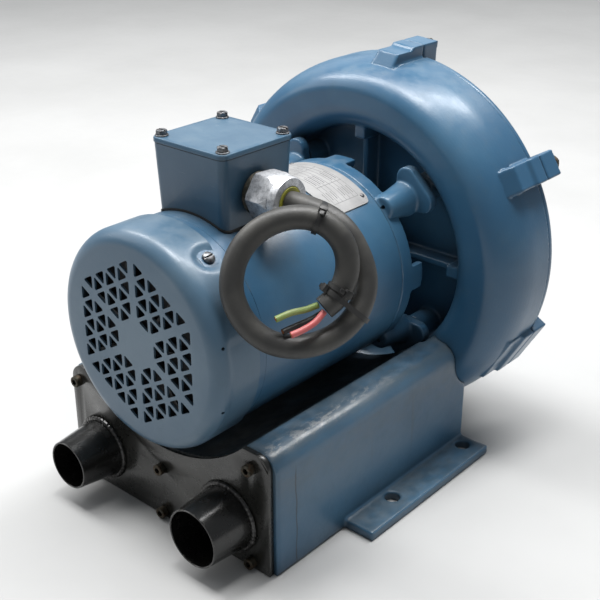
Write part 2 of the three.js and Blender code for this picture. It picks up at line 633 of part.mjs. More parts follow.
function windings() {
  const endTurn = (y0, y1) => turned([[53.5, y0], [69, y0], [71, (y0 + y1) / 2], [69, y1], [53.5, y1]], 16);
  let body = endTurn(STATOR_FRONT_Y - 22, STATOR_FRONT_Y - GAP).add(endTurn(STATOR_BACK_Y + GAP, 4));
  const bar = block(53.6, 69.4, STATOR_FRONT_Y - 1, STATOR_BACK_Y + 1, -4.6, 4.6);
  for (let k = 0; k < SLOT_COUNT; k++) {
    body = body.add(around(bar, 360 * (k + 0.5) / SLOT_COUNT));
  }
  return body;
}

function nameplate() {
  const inner = SHELL_RADIUS + GAP;
  const plate = turned([[inner, -54], [inner + 0.8, -54], [inner + 0.8, 6], [inner, 6]], 60);
  return plate.intersect(wedge(50.5, 79, -60, 10).add(wedge(78.9, 107, -60, 10)));
}

// ---------------------------------------------------------------- junction box
function boxBody() {
  const slab = (half, z) => extrudedZ(roundedRectangle(half, half, BOX_CORNER, 0, BOX_Y), z, z + 0.1);
  const walls = wasm.Manifold.hull([slab(BOX_FOOT_HALF, BOX_FOOT_HEIGHT), slab(BOX_HALF, BOX_TOP - 0.1)]);
  let body = walls.subtract(cylinderY(SHELL_RADIUS + 2, -230, 30, 0, AXIS_HEIGHT, MOTOR_SIDES));
  const innerHalf = BOX_HALF - 4.3;
  const inside = roundedRectangle(innerHalf, innerHalf, 4, 0, BOX_Y);
  body = body.subtract(extrudedZ(inside, BOX_FLOOR_HEIGHT, BOX_TOP + 1));
  for (const [sx, sy] of LID_CORNERS) {
    const x = sx * LID_SCREW_OFFSET;
    const y = BOX_Y + sy * LID_SCREW_OFFSET;
    const post = cylinderZ(5.2, 296, BOX_TOP, x, y, 10);
    body = body.add(post).subtract(cylinderZ(2.4, 300, BOX_TOP + 1, x, y, SMALL_SIDES));
  }
  body = body.subtract(cylinderZ(CONDUIT_RADIUS, 240, 280, 0, BOX_Y, 14));
  return body.subtract(cylinderX(16, 30, 50, GLAND_Y, GLAND_HEIGHT, 18));
}

function boxGasket() {
  const inner = SHELL_RADIUS + GAP;
  const sleeve = turned([[inner, -170], [inner + 1.4, -170], [inner + 1.4, -60], [inner, -60]], MOTOR_SIDES)
    .translate(0, 0, AXIS_HEIGHT);
  const half = BOX_FOOT_HALF + 1.5;
  const prism = extrudedZ(roundedRectangle(half, half, BOX_CORNER, 0, BOX_Y), 220, BOX_TOP);
  return sleeve.intersect(prism).subtract(cylinderZ(CONDUIT_RADIUS, 240, 280, 0, BOX_Y, 14));
}

function boxLid() {
  let body = extrudedZ(roundedRectangle(LID_HALF, LID_HALF, BOX_CORNER, 0, BOX_Y), BOX_TOP + 1.2, LID_TOP);
  for (const [sx, sy] of LID_CORNERS) {
    const hole = cylinderZ(2.6, BOX_TOP, 330, sx * LID_SCREW_OFFSET, BOX_Y + sy * LID_SCREW_OFFSET, 10);
    body = body.subtract(hole);
  }
  return body;
}

function lidScrew(x, y) {
  const seat = LID_TOP + GAP;
  const washer = cylinderZ(5.2, seat, seat + 1, x, y, 10);
  const head = cylinderZ(8 / Math.sqrt(3), seat + 0.9, seat + 4.6, x, y, 6);
  const slot = block(x - 6, x + 6, y - 0.7, y + 0.7, seat + 3.3, seat + 6);
  return washer.add(head).subtract(slot).add(cylinderZ(2.1, BOX_TOP - 14.5, seat + 0.3, x, y, 6));
}

function terminalBlock() {
  let body = block(-18, 14, -98, -82, BOX_FLOOR_HEIGHT + GAP, 287);
  for (let k = 0; k < 3; k++) {
    body = body.add(cylinderZ(2.2, 286, 292, -12 + 10 * k, -90, 10));
    body = body.subtract(block(-15.5 + 10 * k, -8.5 + 10 * k, -99, -94, 278, 284));
  }
  return body;
}

// a body turned about the X axis from [radius, x] points
function turnedX(outline, segments) {
  return turned(outline, segments).rotate([0, 0, -90]);
}

function glandBody() {
  const collar = [[0, 34], [15.6, 34], [15.6, 39.7], [17, 39.7], [17, 46], [0, 46]];
  const chamfer = [[0, 45], [21.6, 45], [21.6, 59], [19.3, 66.9], [0, 66.9]];
  const hexagon = cylinderX(GLAND_FLATS / Math.sqrt(3), 46, 66.9, 0, 0, 6).rotate([26, 0, 0]);
  const body = hexagon.intersect(turnedX(chamfer, 24)).add(turnedX(collar, 20));
  return body.subtract(cylinderX(10.5, 30, 70, 0, 0, 16)).translate(0, GLAND_Y, GLAND_HEIGHT);
}

function glandNut() {
  const profile = [[11, 67.2], [19.6, 67.2], [19.4, 73.4], [18.6, GLAND_NOSE_X], [11, GLAND_NOSE_X]];
  return turnedX(profile, 20).translate(0, GLAND_Y, GLAND_HEIGHT);
}

// ---------------------------------------------------------------- cable and wires
function cord(route, radius, sides, steps) {
  const curve = new THREE.CatmullRomCurve3(route.map((p) => new THREE.Vector3(...p)), false, 'centripetal');
  const section = new THREE.Shape();
  for (let k = 0; k < sides; k++) {
    const angle = 2 * Math.PI * k / sides;
    const [x, y] = [radius * Math.cos(angle), radius * Math.sin(angle)];
    if (k === 0) section.moveTo(x, y);
    else section.lineTo(x, y);
  }
  return solid(new THREE.ExtrudeGeometry(section, { steps, bevelEnabled: false, extrudePath: curve }));
}

// ---------------------------------------------------------------- stand
// x where the trough arc reaches a height
function troughReach(radius, height) {
  return Math.sqrt(radius ** 2 - (TROUGH_CENTRE_HEIGHT - height) ** 2);
}

// outline of the two ducts and the trough between them
function standOutline(left, right, corner, bottom, radius) {
  const shape = new THREE.Shape();
  const reach = troughReach(radius, DUCT_TOP);
  const start = Math.atan2(DUCT_TOP - TROUGH_CENTRE_HEIGHT, reach);
  shape.moveTo(left, bottom);
  shape.lineTo(right, bottom);
  shape.absarc(right - corner, DUCT_TOP - corner, corner, 0, rad(90), false);
  shape.absarc(0, TROUGH_CENTRE_HEIGHT, radius, start, -Math.PI - start, true);
  shape.absarc(left + corner, DUCT_TOP - corner, corner, rad(90), rad(180), false);
  shape.closePath();
  return shape;
}

function ductPocket(side, outer) {
  const inner = 15;
  const crown = DUCT_TOP - BASE_WALL;
  const shoulder = [[outer, crown - 12], [outer - 12, crown], [94, crown]];
  const points = [[inner, BASE_WALL], [outer, BASE_WALL], ...shoulder];
  for (const height of [96, 88, 81, 76]) {
    points.push([troughReach(TROUGH_RADIUS + BASE_WALL, height), height]);
  }
  points.push([inner, 60]);
  return polygon(points.map(([x, z]) => [side * x, z]));
}

function manifoldBase() {
  const pocketBack = BASE_BACK_Y - 8;
  const outline = standOutline(BASE_LEFT, BASE_RIGHT, 17, 0, TROUGH_RADIUS);
  let body = extrudedY(outline, BASE_FRONT_Y, BASE_BACK_Y, 6);
  for (const [side, flank] of [[-1, BASE_LEFT], [1, BASE_RIGHT]]) {
    const edges = [side * (Math.abs(flank) - 2), side * FOOT_EDGE_X].sort((a, b) => a - b);
    body = body.add(block(edges[0], edges[1], FOOT_FRONT_Y, BASE_BACK_Y, 0, FOOT_THICKNESS));
    const pocket = ductPocket(side, Math.abs(flank) - BASE_WALL);
    body = body.subtract(extrudedY(pocket, BASE_FRONT_Y - 1, pocketBack));
    for (const y of [-FOOT_HOLE_SPACING / 2, FOOT_HOLE_SPACING / 2]) {
      body = body.subtract(cylinderZ(FOOT_HOLE_RADIUS, -1, 20, side * FOOT_HOLE_X, y, 20));
    }
  }
  for (const [x, z] of PLATE_SCREWS) {
    const boss = cylinderY(8, BASE_FRONT_Y, BASE_FRONT_Y + 22, x, Math.max(z, 8), 10);
    if (x !== 0) body = body.add(boss);
    const hole = cylinderY(PLATE_HOLE_RADIUS, BASE_FRONT_Y - 1, BASE_FRONT_Y + 18, x, z, SMALL_SIDES);
    body = body.subtract(hole);
  }
  // room for the ring and for the motor ears bolted to it
  const earRoom = cylinderY(EAR_REACH + 2, EAR_FRONT_Y - 8, BASE_BACK_Y + 1, 0, AXIS_HEIGHT, RING_SIDES);
  return body.subtract(ringEnvelope(GAP, RING_SIDES).translate(0, 0, AXIS_HEIGHT)).subtract(earRoom);
}

function endPlate() {
  const shape = standOutline(PLATE_LEFT, PLATE_RIGHT, 14, 0.3, TROUGH_RADIUS);
  let body = extrudedY(shape, PLATE_FRONT_Y, BASE_FRONT_Y - GAP, 6);
  for (const { x, plateBore } of [OUTLET, INLET]) {
    body = body.subtract(cylinderY(plateBore, PLATE_FRONT_Y - 1, BASE_FRONT_Y, x, TUBE_HEIGHT, 20));
  }
  for (const [x, z] of PLATE_SCREWS) {
    const hole = cylinderY(PLATE_HOLE_RADIUS, PLATE_FRONT_Y - 1, BASE_FRONT_Y + 1, x, z, SMALL_SIDES);
    body = body.subtract(hole);
  }
  return body;
}

// a tapered air tube with its weld bead at the plate
function airTube({ x, mouthRadius, rootRadius }) {
  const root = PLATE_FRONT_Y - GAP;
  return turned([[mouthRadius - TUBE_WALL, TUBE_MOUTH_Y], [mouthRadius, TUBE_MOUTH_Y], [rootRadius, root - 6],
    [rootRadius + 3.2, root], [rootRadius - 3, root]], 28).translate(x, 0, TUBE_HEIGHT);
}

function silencerFoam({ x }) {
  return turned([[FOAM_INNER_RADIUS, FOAM_FRONT_Y], [FOAM_OUTER_RADIUS, FOAM_FRONT_Y],
    [FOAM_OUTER_RADIUS, FOAM_BACK_Y], [FOAM_INNER_RADIUS, FOAM_BACK_Y]], 24).translate(x, 0, FOAM_HEIGHT);
}

// ---------------------------------------------------------------- assembly
const blower = new THREE.Group();
const axisLine = new THREE.Group();
axisLine.position.set(0, 0, AXIS_HEIGHT);

axisLine.add(part('blower_housing', housing(), BLUE));
axisLine.add(part('blower_cover', cover(), BLUE));
LUGS.forEach((lug, index) => {
  const bolt = hexBolt(34).translate(lugBoltRadius(lug), LUG_BACK_Y + GAP, 0);
  axisLine.add(part(`cover_bolt_${index + 1}`, around(bolt, lug.angle), DARK_STEEL));
});

axisLine.add(part('impeller', impeller(), ALUMINIUM));
axisLine.add(part('impeller_nut', impellerNut(), STEEL));
axisLine.add(part('motor_shaft', motorShaft(), STEEL));
axisLine.add(part('rotor_core', rotorCore(), LAMINATION));
axisLine.add(part('cooling_fan', coolingFan(), PLASTIC_DARK));
for (const [label, y] of [['drive', DRIVE_BEARING_Y], ['fan', FAN_BEARING_Y]]) {
  axisLine.add(part(`${label}_bearing_outer`, bearingRing(OUTER_RACE_RADIUS, BEARING_RADIUS, y), STEEL));
  axisLine.add(part(`${label}_bearing_cage`, ballCage(y), STEEL));
  axisLine.add(part(`${label}_bearing_inner`, bearingRing(BEARING_BORE, INNER_RACE_RADIUS, y), STEEL));
}
const sealRing = turned([[SHAFT_RADIUS + 0.5, SEAL_FRONT_Y], [SEAL_BORE - GAP, SEAL_FRONT_Y],
  [SEAL_BORE - GAP, SEAL_BACK_Y], [SHAFT_RADIUS + 0.5, SEAL_BACK_Y]], 20);
axisLine.add(part('shaft_seal', sealRing, RUBBER));

axisLine.add(part('motor_shell', motorShell(), BLUE));
axisLine.add(part('drive_end_bracket', driveEndBracket(), BLUE));
axisLine.add(part('fan_end_bracket', fanEndBracket(), BLUE));
axisLine.add(part('fan_cover', fanCover(), BLUE));
FAN_SCREW_ANGLES.forEach((angle, index) => {
  axisLine.add(part(`fan_cover_screw_${index + 1}`, fanCoverScrew(angle), STEEL));
});
axisLine.add(part('stator_core', statorCore(), LAMINATION));
axisLine.add(part('windings', windings(), COPPER));
axisLine.add(part('nameplate', nameplate(), LABEL));
for (let k = 0; k < 4; k++) {
  const stud = motorStud().translate(EAR_RADIUS, 0, 0);
  axisLine.add(part(`motor_bolt_${k + 1}`, around(stud, 45 + 90 * k), DARK_STEEL));
}

const stand = new THREE.Group();
stand.add(part('manifold_base', manifoldBase(), BLUE));
stand.add(part('end_plate', endPlate(), BLACK_PAINT));
PLATE_SCREWS.forEach(([x, z], index) => {
  const screw = socketScrew().translate(x, PLATE_FRONT_Y - GAP, z);
  stand.add(part(`plate_screw_${index + 1}`, screw, DARK_STEEL));
});
for (const [label, duct] of [['inlet', INLET], ['outlet', OUTLET]]) {
  stand.add(part(`${label}_tube`, airTube(duct), BLACK_PAINT));
  stand.add(part(`${label}_silencer`, silencerFoam(duct), FOAM));
}

const junction = new THREE.Group();
junction.add(part('junction_box', boxBody(), BLUE));
junction.add(part('box_gasket', boxGasket(), RUBBER));
junction.add(part('junction_box_lid', boxLid(), BLUE));
LID_CORNERS.forEach(([sx, sy], index) => {
  const screw = lidScrew(sx * LID_SCREW_OFFSET, BOX_Y + sy * LID_SCREW_OFFSET);
  junction.add(part(`lid_screw_${index + 1}`, screw, STEEL));
});
junction.add(part('terminal_block', terminalBlock(), PLASTIC_DARK));
junction.add(part('gland_body', glandBody(), ZINC));
junction.add(part('gland_nut', glandNut(), ZINC));
junction.add(part('power_cable', cord(CABLE_ROUTE, CABLE_RADIUS, 10, 30), JACKET));
const wireLooks = { wire_green: GREEN_WIRE, wire_red: RED_WIRE, wire_black: BLACK_WIRE };
for (const [name, route] of Object.entries(WIRES)) {
  junction.add(part(name, cord(route, WIRE_RADIUS, 8, 4), wireLooks[name]));
}

blower.add(axisLine, stand, junction);
export default blower;
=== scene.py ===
"""Looks for the side-channel blower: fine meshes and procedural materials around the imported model."""
import math

import bmesh
import bpy
import numpy as np
from mathutils import Matrix, Vector


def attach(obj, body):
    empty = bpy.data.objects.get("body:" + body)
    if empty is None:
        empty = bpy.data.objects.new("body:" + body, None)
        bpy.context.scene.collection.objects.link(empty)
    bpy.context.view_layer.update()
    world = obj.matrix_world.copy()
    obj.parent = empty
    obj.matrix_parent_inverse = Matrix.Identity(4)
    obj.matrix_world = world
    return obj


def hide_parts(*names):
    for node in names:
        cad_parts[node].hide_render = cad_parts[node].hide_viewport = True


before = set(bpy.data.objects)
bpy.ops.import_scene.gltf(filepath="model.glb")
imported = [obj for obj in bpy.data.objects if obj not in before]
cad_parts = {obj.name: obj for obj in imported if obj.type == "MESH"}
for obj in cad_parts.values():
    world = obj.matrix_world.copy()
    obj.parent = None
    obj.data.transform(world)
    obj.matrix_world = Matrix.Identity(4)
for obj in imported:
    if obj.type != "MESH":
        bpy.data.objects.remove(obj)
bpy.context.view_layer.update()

# ---------------- driving dimensions, millimetres
MM = 0.001
AXIS_Z = 175.0             # motor axis above the floor, along Y
ROUND = 128                # facets of a large turned surface
FINE_ROUND = 192           # facets of one that shows its edge
RING_ROUND = 160           # facets of one that is cast afterwards
SMALL_ROUND = 32
GAP = 0.3                  # left between neighbouring pieces
CAST_VOXEL = 1.35
CAST_SHARP = 50            # degrees between faces that stay a crisp edge

RIM_R = 171.7              # blower ring
SPLIT_Y = 122.5
SHOULDER_Y = 99.4
CREST_Y = 50.4
CREST_OUTER_R = 147.2
CREST_INNER_R = 135.0
MOUTH_R = 112.0
MOUTH_Y = 72.0
FLOOR_Y = 88.0
CHAMBER_R = 160.0
CHANNEL_R = 118.0
COVER_FLANGE_R = 170.8
COVER_BACK_Y = 129.0
EAR_R = 98.7               # circle of the motor studs
EAR_REACH = 115.0
EAR_FRONT_Y = 46.0
EAR_BACK_Y = 56.0
BOSS_AXIS_R = 89.0
STUD_FRONT_Y, STUD_BACK_Y = 41.0, 80.0
COLLAR_BACK_Y = 61.3
LUG_BACK_Y = 145.0
LUG_STEP_Y = 104.0
LUG_FRONT_Y = 80.0
LUGS = [                   # angle, half width, radius of the outer face
    (86, 12, 183.0), (31, 12, 183.0), (-30, 26, 174.5),
    (-66, 12, 177.0), (-150, 26, 174.5), (149, 12, 183.0),
]
BOLT_FLATS = 13.0          # hexagons of the cover bolts and stud collars
FLANGE_FOOT_R = 159.0      # where the cover's flange meets its bulge

SHELL_R = 90.5             # motor
SHELL_WALL = 5.0
SHELL_FRONT_Y = -163.0
SHELL_BACK_Y = 12.0
BRACKET_RIM_Y = 27.0
BRACKET_BACK_Y = 42.0
DRIVE_BEARING_Y = 36.0
FAN_BEARING_Y = -173.0
BEARING_SEAT = 7.8         # half width of a bearing's seat
HUB_R, HUB_BORE_R, SHAFT_HOLE_R = 33.0, 26.0, 15.0
BALL_R, BALL_CIRCLE_R, BALL_COUNT = 3.7, 19.0, 8
COVER_FACE_Y = -215.6
COVER_EDGE_Y = -172.0
COVER_R = 93.3
COVER_ROUND = 13.3
COVER_WALL = 2.0
FAN_SCREW_Y = -181.0
FAN_SCREW_ANGLES = (57, 177, 297)

BASE_LEFT, BASE_RIGHT = -117.5, 126.7      # stand
BASE_FRONT_Y, BASE_BACK_Y = -191.7, 69.3
DUCT_TOP = 110.6
TROUGH_R = 135.5
TROUGH_Z = 207.0
PLATE_LEFT, PLATE_RIGHT = -113.5, 122.5
PLATE_FRONT_Y = -197.0
FOOT_X = 155.8
FOOT_FRONT_Y = -107.6
FOOT_TOP = 8.8
FOOT_HOLE_X, FOOT_HOLE_Y, FOOT_HOLE_R = 137.0, 55.0, 7.0
TUBE_X, TUBE_Z = 77.0, 38.2
TUBE_MOUTH_Y = -237.3
PLATE_SCREWS = [           # x, z
    (-104, 96), (104, 96), (0, 50), (-104, 7), (104, 7), (0, 6),
]

BOX_Y, BOX_HALF, BOX_TOP = -113.5, 39.9, 316.5     # junction box
BOX_FOOT_HALF, BOX_FOOT_Z = 37.2, 240.0
LID_HALF, LID_TOP = 40.6, 321.4
LID_SCREW = 33.6
LID_CORNERS = [(sx * LID_SCREW, BOX_Y + sy * LID_SCREW) for sx, sy in ((-1, -1), (1, -1), (1, 1), (-1, 1))]
GLAND_Y, GLAND_Z = -117.0, 283.5

CABLE_R = 9.0
CABLE_ROUTE = [
    (74.8, -117, 283.5), (86, -116.6, 283.8), (97, -116, 283), (108.5, -114.8, 281),
    (118.5, -113.6, 277), (128, -112.6, 270), (135.5, -112, 260.5), (142, -112.5, 250),
    (147, -115, 238.5), (150, -121.5, 227.5), (150.5, -131, 217.5), (147.5, -142.5, 209),
    (142, -155.5, 203.5), (135, -167.5, 201.5), (125.5, -179, 202.5), (114.5, -187.5, 206.5),
    (103, -193.5, 215.5), (93.5, -196, 227.5), (87, -195, 241), (84, -190, 255),
    (84.5, -182, 268), (89, -172, 278.5), (97, -161.5, 286), (106.5, -151.5, 289.5),
    (116.5, -143, 289), (126.5, -136.5, 284.5), (135, -132.5, 276.5), (140.5, -131, 266.5),
    (143.5, -132.5, 255), (144, -137, 244), (142, -144, 234), (138, -152, 227.5),
]
WIRE_R = 2.4
WIRES = {
    "wire_green": [(134.2, -154.2, 229.4), (130.5, -163.5, 228), (126, -175, 228), (121.5, -186, 225.5)],
    "wire_red": [(141.1, -155.4, 226.6), (140.5, -165, 221.5), (138, -175.5, 218.5), (134.5, -184, 216.5)],
    "wire_black": [(136.6, -150.4, 223.3), (133.5, -160, 220), (129, -171.5, 217.5), (125.5, -183, 215.5)],
}

# ---------------- camera, fitted to the photograph
camera_data = bpy.data.cameras.new("camera")
camera_data.lens = 65.16
camera_data.sensor_width = 36
camera = bpy.data.objects.new("camera", camera_data)
camera.location = (0.5912, -0.6967, 0.5719)
camera.rotation_euler = (math.radians(90 - 25.51), 0, math.radians(41.17))
bpy.context.scene.collection.objects.link(camera)
bpy.context.scene.camera = camera


# ---------------- mesh helpers, all in millimetres
def as_object(points, faces):
    mesh = bpy.data.meshes.new("work")
    mesh.from_pydata([tuple(c * MM for c in p) for p in points], [], faces)
    work = bmesh.new()
    work.from_mesh(mesh)
    bmesh.ops.remove_doubles(work, verts=work.verts, dist=1e-7)
    bmesh.ops.recalc_face_normals(work, faces=work.faces)
    work.to_mesh(mesh)
    work.free()
    obj = bpy.data.objects.new("work", mesh)
    bpy.context.scene.collection.objects.link(obj)
    return obj


def wound(count, section, closed=True):
    """The faces between neighbouring sections of a ring, each section a closed or an open line."""
    faces = []
    for i in range(count):
        j = (i + 1) % count
        for k in range(section if closed else section - 1):
            m = (k + 1) % section
            faces.append((i * section + k, j * section + k, j * section + m, i * section + m))
    return faces


def lathe(profile, sides=ROUND, centre=(0.0, AXIS_Z), axis="y", closed=True):
    """A body turned about a line along an axis, from (radius, distance along it) points. Closed
    profiles are rings; open ones are capped flat at both ends."""
    points = []
    for i in range(sides):
        a = 2 * math.pi * i / sides
        for radius, along in profile:
            u, v = centre[0] + radius * math.cos(a), centre[1] + radius * math.sin(a)
            points.append({"y": (u, along, v), "x": (along, u, v), "z": (u, v, along)}[axis])
    n = len(profile)
    faces = wound(sides, n, closed)
    if not closed:
        faces.append([i * n for i in range(sides)])
        faces.append([i * n + n - 1 for i in range(sides)])
    return as_object(points, faces)


def cylinder(radius, low, high, centre=(0.0, AXIS_Z), axis="y", sides=SMALL_ROUND):
    return lathe([(radius, low), (radius, high)], sides, centre, axis, closed=False)


def loft(loops, ring=False):
    """A body through loops of equally many points, capped at both ends or led back to the first."""
    n, count = len(loops[0]), len(loops)
    points = [p for loop in loops for p in loop]
    faces = [] if ring else [list(range(n)), list(range((count - 1) * n, count * n))]
    for k in range(count if ring else count - 1):
        m = (k + 1) % count
        for i in range(n):
            j = (i + 1) % n
            faces.append((k * n + i, k * n + j, m * n + j, m * n + i))
    return as_object(points, faces)


def prism(outline, low, high, axis):
    """An outline drawn out along an axis, from low to high."""
    def put(a, b, d):
        return {"x": (d, a, b), "y": (a, d, b), "z": (a, b, d)}[axis]

    return loft([[put(a, b, d) for a, b in outline] for d in (low, high)])


def block(x0, x1, y0, y1, z0, z1):
    return prism([(x0, y0), (x1, y0), (x1, y1), (x0, y1)], z0, z1, "z")


def spoke(x0, x1, y0, y1, half):
    """A block that points from the motor axis towards +X."""
    return block(x0, x1, y0, y1, AXIS_Z - half, AXIS_Z + half)


def arc(cu, cv, ru, rv, start, end, steps):
    """Points on an ellipse round (cu, cv), with angles in degrees."""
    angles = [math.radians(start + (end - start) * i / steps) for i in range(steps + 1)]
    return [(cu + ru * math.cos(a), cv + rv * math.sin(a)) for a in angles]


def wrapped(circles, steps=72):
    """The outline of a band drawn tight round several circles (u, v, radius)."""
    outline = []
    for k in range(steps):
        c, q = math.cos(2 * math.pi * k / steps), math.sin(2 * math.pi * k / steps)
        u, v, radius = max(circles, key=lambda circle: circle[0] * c + circle[1] * q + circle[2])
        outline.append((u + radius * c, v + radius * q))
    return outline


def around(obj, degrees):
    """Turns a body about the motor axis; positive goes from +X towards +Z."""
    centre = Vector((0, 0, AXIS_Z * MM))
    turn = Matrix.Rotation(-math.radians(degrees), 4, "Y")
    obj.data.transform(Matrix.Translation(centre) @ turn @ Matrix.Translation(-centre))
    return obj


def joined(objects):
    """One mesh from several overlapping bodies."""
    work = bmesh.new()
    for obj in objects:
        work.from_mesh(obj.data)
    work.to_mesh(objects[0].data)
    work.free()
    for obj in objects[1:]:
        bpy.data.objects.remove(obj)
    return objects[0]


def apply_modifier(obj, kind, **settings):
    modifier = obj.modifiers.new("work", kind)
    for key, value in settings.items():
        setattr(modifier, key, value)
    graph = bpy.context.evaluated_depsgraph_get()
    mesh = bpy.data.meshes.new_from_object(obj.evaluated_get(graph))
    obj.modifiers.clear()
    obj.data = mesh
    return obj


def bevel(obj, width, **limit):
    return apply_modifier(obj, "BEVEL", width=width * MM, segments=2, **limit)


def boolean(obj, tools, operation):
    tool, several = joined(tools), len(tools) > 1
    apply_modifier(obj, "BOOLEAN", object=tool, operation=operation, solver="EXACT", use_self=several)
    bpy.data.objects.remove(tool)
    return obj


def cut(obj, *tools):
    return boolean(obj, list(tools), "DIFFERENCE")


def cast(objects, voxel, smoothing, cuts=()):
    """Fuses overlapping bodies into one casting with soft edges and fillets."""
    size = voxel * 1.0
    whole = joined(objects)
    apply_modifier(whole, "REMESH", mode="VOXEL", voxel_size=size * MM)
    if cuts:
        cut(whole, *cuts)
        apply_modifier(whole, "REMESH", mode="VOXEL", voxel_size=size * MM)
    apply_modifier(whole, "SMOOTH", factor=0.5, iterations=smoothing)
    return whole


def coordinates(obj):
    flat = np.empty(len(obj.data.vertices) * 3)
    obj.data.vertices.foreach_get("co", flat)
    return flat.reshape(-1, 3) / MM


def set_coordinates(obj, points):
    obj.data.vertices.foreach_set("co", (points * MM).ravel())
    obj.data.update()


def settle_on_profile(obj, profile, reach):
    """Draws vertices that lie near a turned surface exactly on it, so that it reflects evenly."""
    points = coordinates(obj)
    x, z = points[:, 0], points[:, 2] - AXIS_Z
    radius = np.hypot(x, z)
    best = np.full(len(points), 1e9)
    target_r, target_y = radius.copy(), points[:, 1].copy()
    for (r0, y0), (r1, y1) in zip(profile[:-1], profile[1:]):
        du, dv = r1 - r0, y1 - y0
        t = np.clip(((radius - r0) * du + (points[:, 1] - y0) * dv) / (du * du + dv * dv), 0, 1)
        near_r, near_y = r0 + t * du, y0 + t * dv
        distance = np.hypot(radius - near_r, points[:, 1] - near_y)
        closer = distance < best
        best[closer] = distance[closer]
        target_r[closer], target_y[closer] = near_r[closer], near_y[closer]
    weight = np.clip((reach - best) / (0.5 * reach), 0, 1)
    weight = weight * weight * (3 - 2 * weight)
    new_r = radius + weight * (target_r - radius)
    scale = new_r / np.maximum(radius, 1e-6)
    points[:, 0] = x * scale
    points[:, 2] = AXIS_Z + z * scale
    points[:, 1] += weight * (target_y - points[:, 1])
    set_coordinates(obj, points)


def piece(obj, name, material, body="frame", replaces=(), sharp=32):
    """Hands a finished mesh over: its name, shading, material, body and the CAD nodes it stands for."""
    obj.name = name
    obj.data.name = name
    obj.data.materials.clear()
    obj.data.materials.append(material)
    obj.data.polygons.foreach_set("use_smooth", [True] * len(obj.data.polygons))
    obj.data.set_sharp_from_angle(angle=math.radians(sharp))
    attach(obj, body)
    if replaces:
        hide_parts(*replaces)
    return obj


# ---------------- materials
def rgb(*values):
    return tuple(values) + (1.0,)


class Shade:
    """A procedural material, built node by node. Lengths in its textures are in metres."""

    def __init__(self, name, metallic=0.0, coat=0.0):
        self.material = bpy.data.materials.new(name)
        self.material.use_nodes = True
        self.tree = self.material.node_tree
        self.shader = self.tree.nodes["Principled BSDF"]
        self.shader.inputs["Metallic"].default_value = metallic
        self.shader.inputs["Coat Weight"].default_value = coat
        self.shader.inputs["Coat Roughness"].default_value = 0.15
        self.place = self.node("ShaderNodeTexCoord").outputs["Object"]

    def node(self, kind, inputs=(), **settings):
        made = self.tree.nodes.new(kind)
        for key, value in settings.items():
            setattr(made, key, value)
        for socket, value in dict(inputs).items():
            if isinstance(value, bpy.types.NodeSocket):
                self.tree.links.new(value, made.inputs[socket])
            else:
                made.inputs[socket].default_value = value
        return made

    def stretched(self, scale):
        return self.node("ShaderNodeMapping", {"Vector": self.place, "Scale": scale}).outputs[0]

    def noise(self, scale, detail=4.0, rough=0.55, stretch=None):
        vector = self.stretched(stretch) if stretch else self.place
        inputs = {"Vector": vector, "Scale": scale, "Detail": detail, "Roughness": rough}
        return self.node("ShaderNodeTexNoise", inputs).outputs[0]

    def cells(self, scale):
        return self.node("ShaderNodeTexVoronoi", {"Vector": self.place, "Scale": scale}).outputs["Color"]

    def ramp(self, value, low, high):
        inputs = {"Value": value, "From Min": low, "From Max": high}
        return self.node("ShaderNodeMapRange", inputs, interpolation_type="SMOOTHSTEP").outputs[0]

    def math(self, operation, a, b=0.0):
        return self.node("ShaderNodeMath", {0: a, 1: b}, operation=operation).outputs[0]

    def plus(self, a, b):
        return self.math("ADD", a, b)

    def times(self, a, b):
        return self.math("MULTIPLY", a, b)

    def mix(self, factor, a, b):
        return self.node("ShaderNodeMix", {0: factor, 6: a, 7: b}, data_type="RGBA").outputs[2]

    def over(self, colour, tint, mask, strength):
        """The colour with a tint laid over it where the mask is, as strongly as stated."""
        return self.mix(self.times(mask, strength), colour, tint)

    def axis(self, index):
        return self.node("ShaderNodeSeparateXYZ", {0: self.place}).outputs[index]

    def upward(self):
        normal = self.node("ShaderNodeNewGeometry").outputs["Normal"]
        return self.node("ShaderNodeSeparateXYZ", {0: normal}).outputs[2]

    def edges(self, radius=1.6):
        """One along crisp edges, where a softened normal leaves the real one, and nought on faces."""
        soft = self.node("ShaderNodeBevel", {"Radius": radius * MM}, samples=4).outputs[0]
        real = self.node("ShaderNodeNewGeometry").outputs["Normal"]
        likeness = self.node("ShaderNodeVectorMath", {0: soft, 1: real}, operation="DOT_PRODUCT")
        return self.ramp(likeness.outputs["Value"], 0.985, 0.9)

    # Painted shade: one where ambient occlusion finds the surface hidden within the distance, nought in the
    # open.
    def recesses(self, distance):
        hidden = self.node("ShaderNodeAmbientOcclusion", {"Distance": distance}, samples=6).outputs["AO"]
        return self.math("SUBTRACT", 1.0, self.ramp(hidden, 0.25, 0.85))

    def scratches(self, density, stretch, scale=55.0):
        return self.ramp(self.noise(scale, 3.0, 0.7, stretch), density, density + 0.03)

    def finish(self, colour, roughness, heights):
        """Wires up the shader; heights are (pattern, depth in millimetres), each bump on the last."""
        self.tree.links.new(colour, self.shader.inputs["Base Color"])
        self.tree.links.new(roughness, self.shader.inputs["Roughness"])
        below = {}
        for height, depth in heights:
            inputs = {"Height": height, "Distance": depth * MM, "Strength": 1.0, **below}
            below = {"Normal": self.node("ShaderNodeBump", inputs).outputs[0]}
        self.tree.links.new(below["Normal"], self.shader.inputs["Normal"])
        return self.material


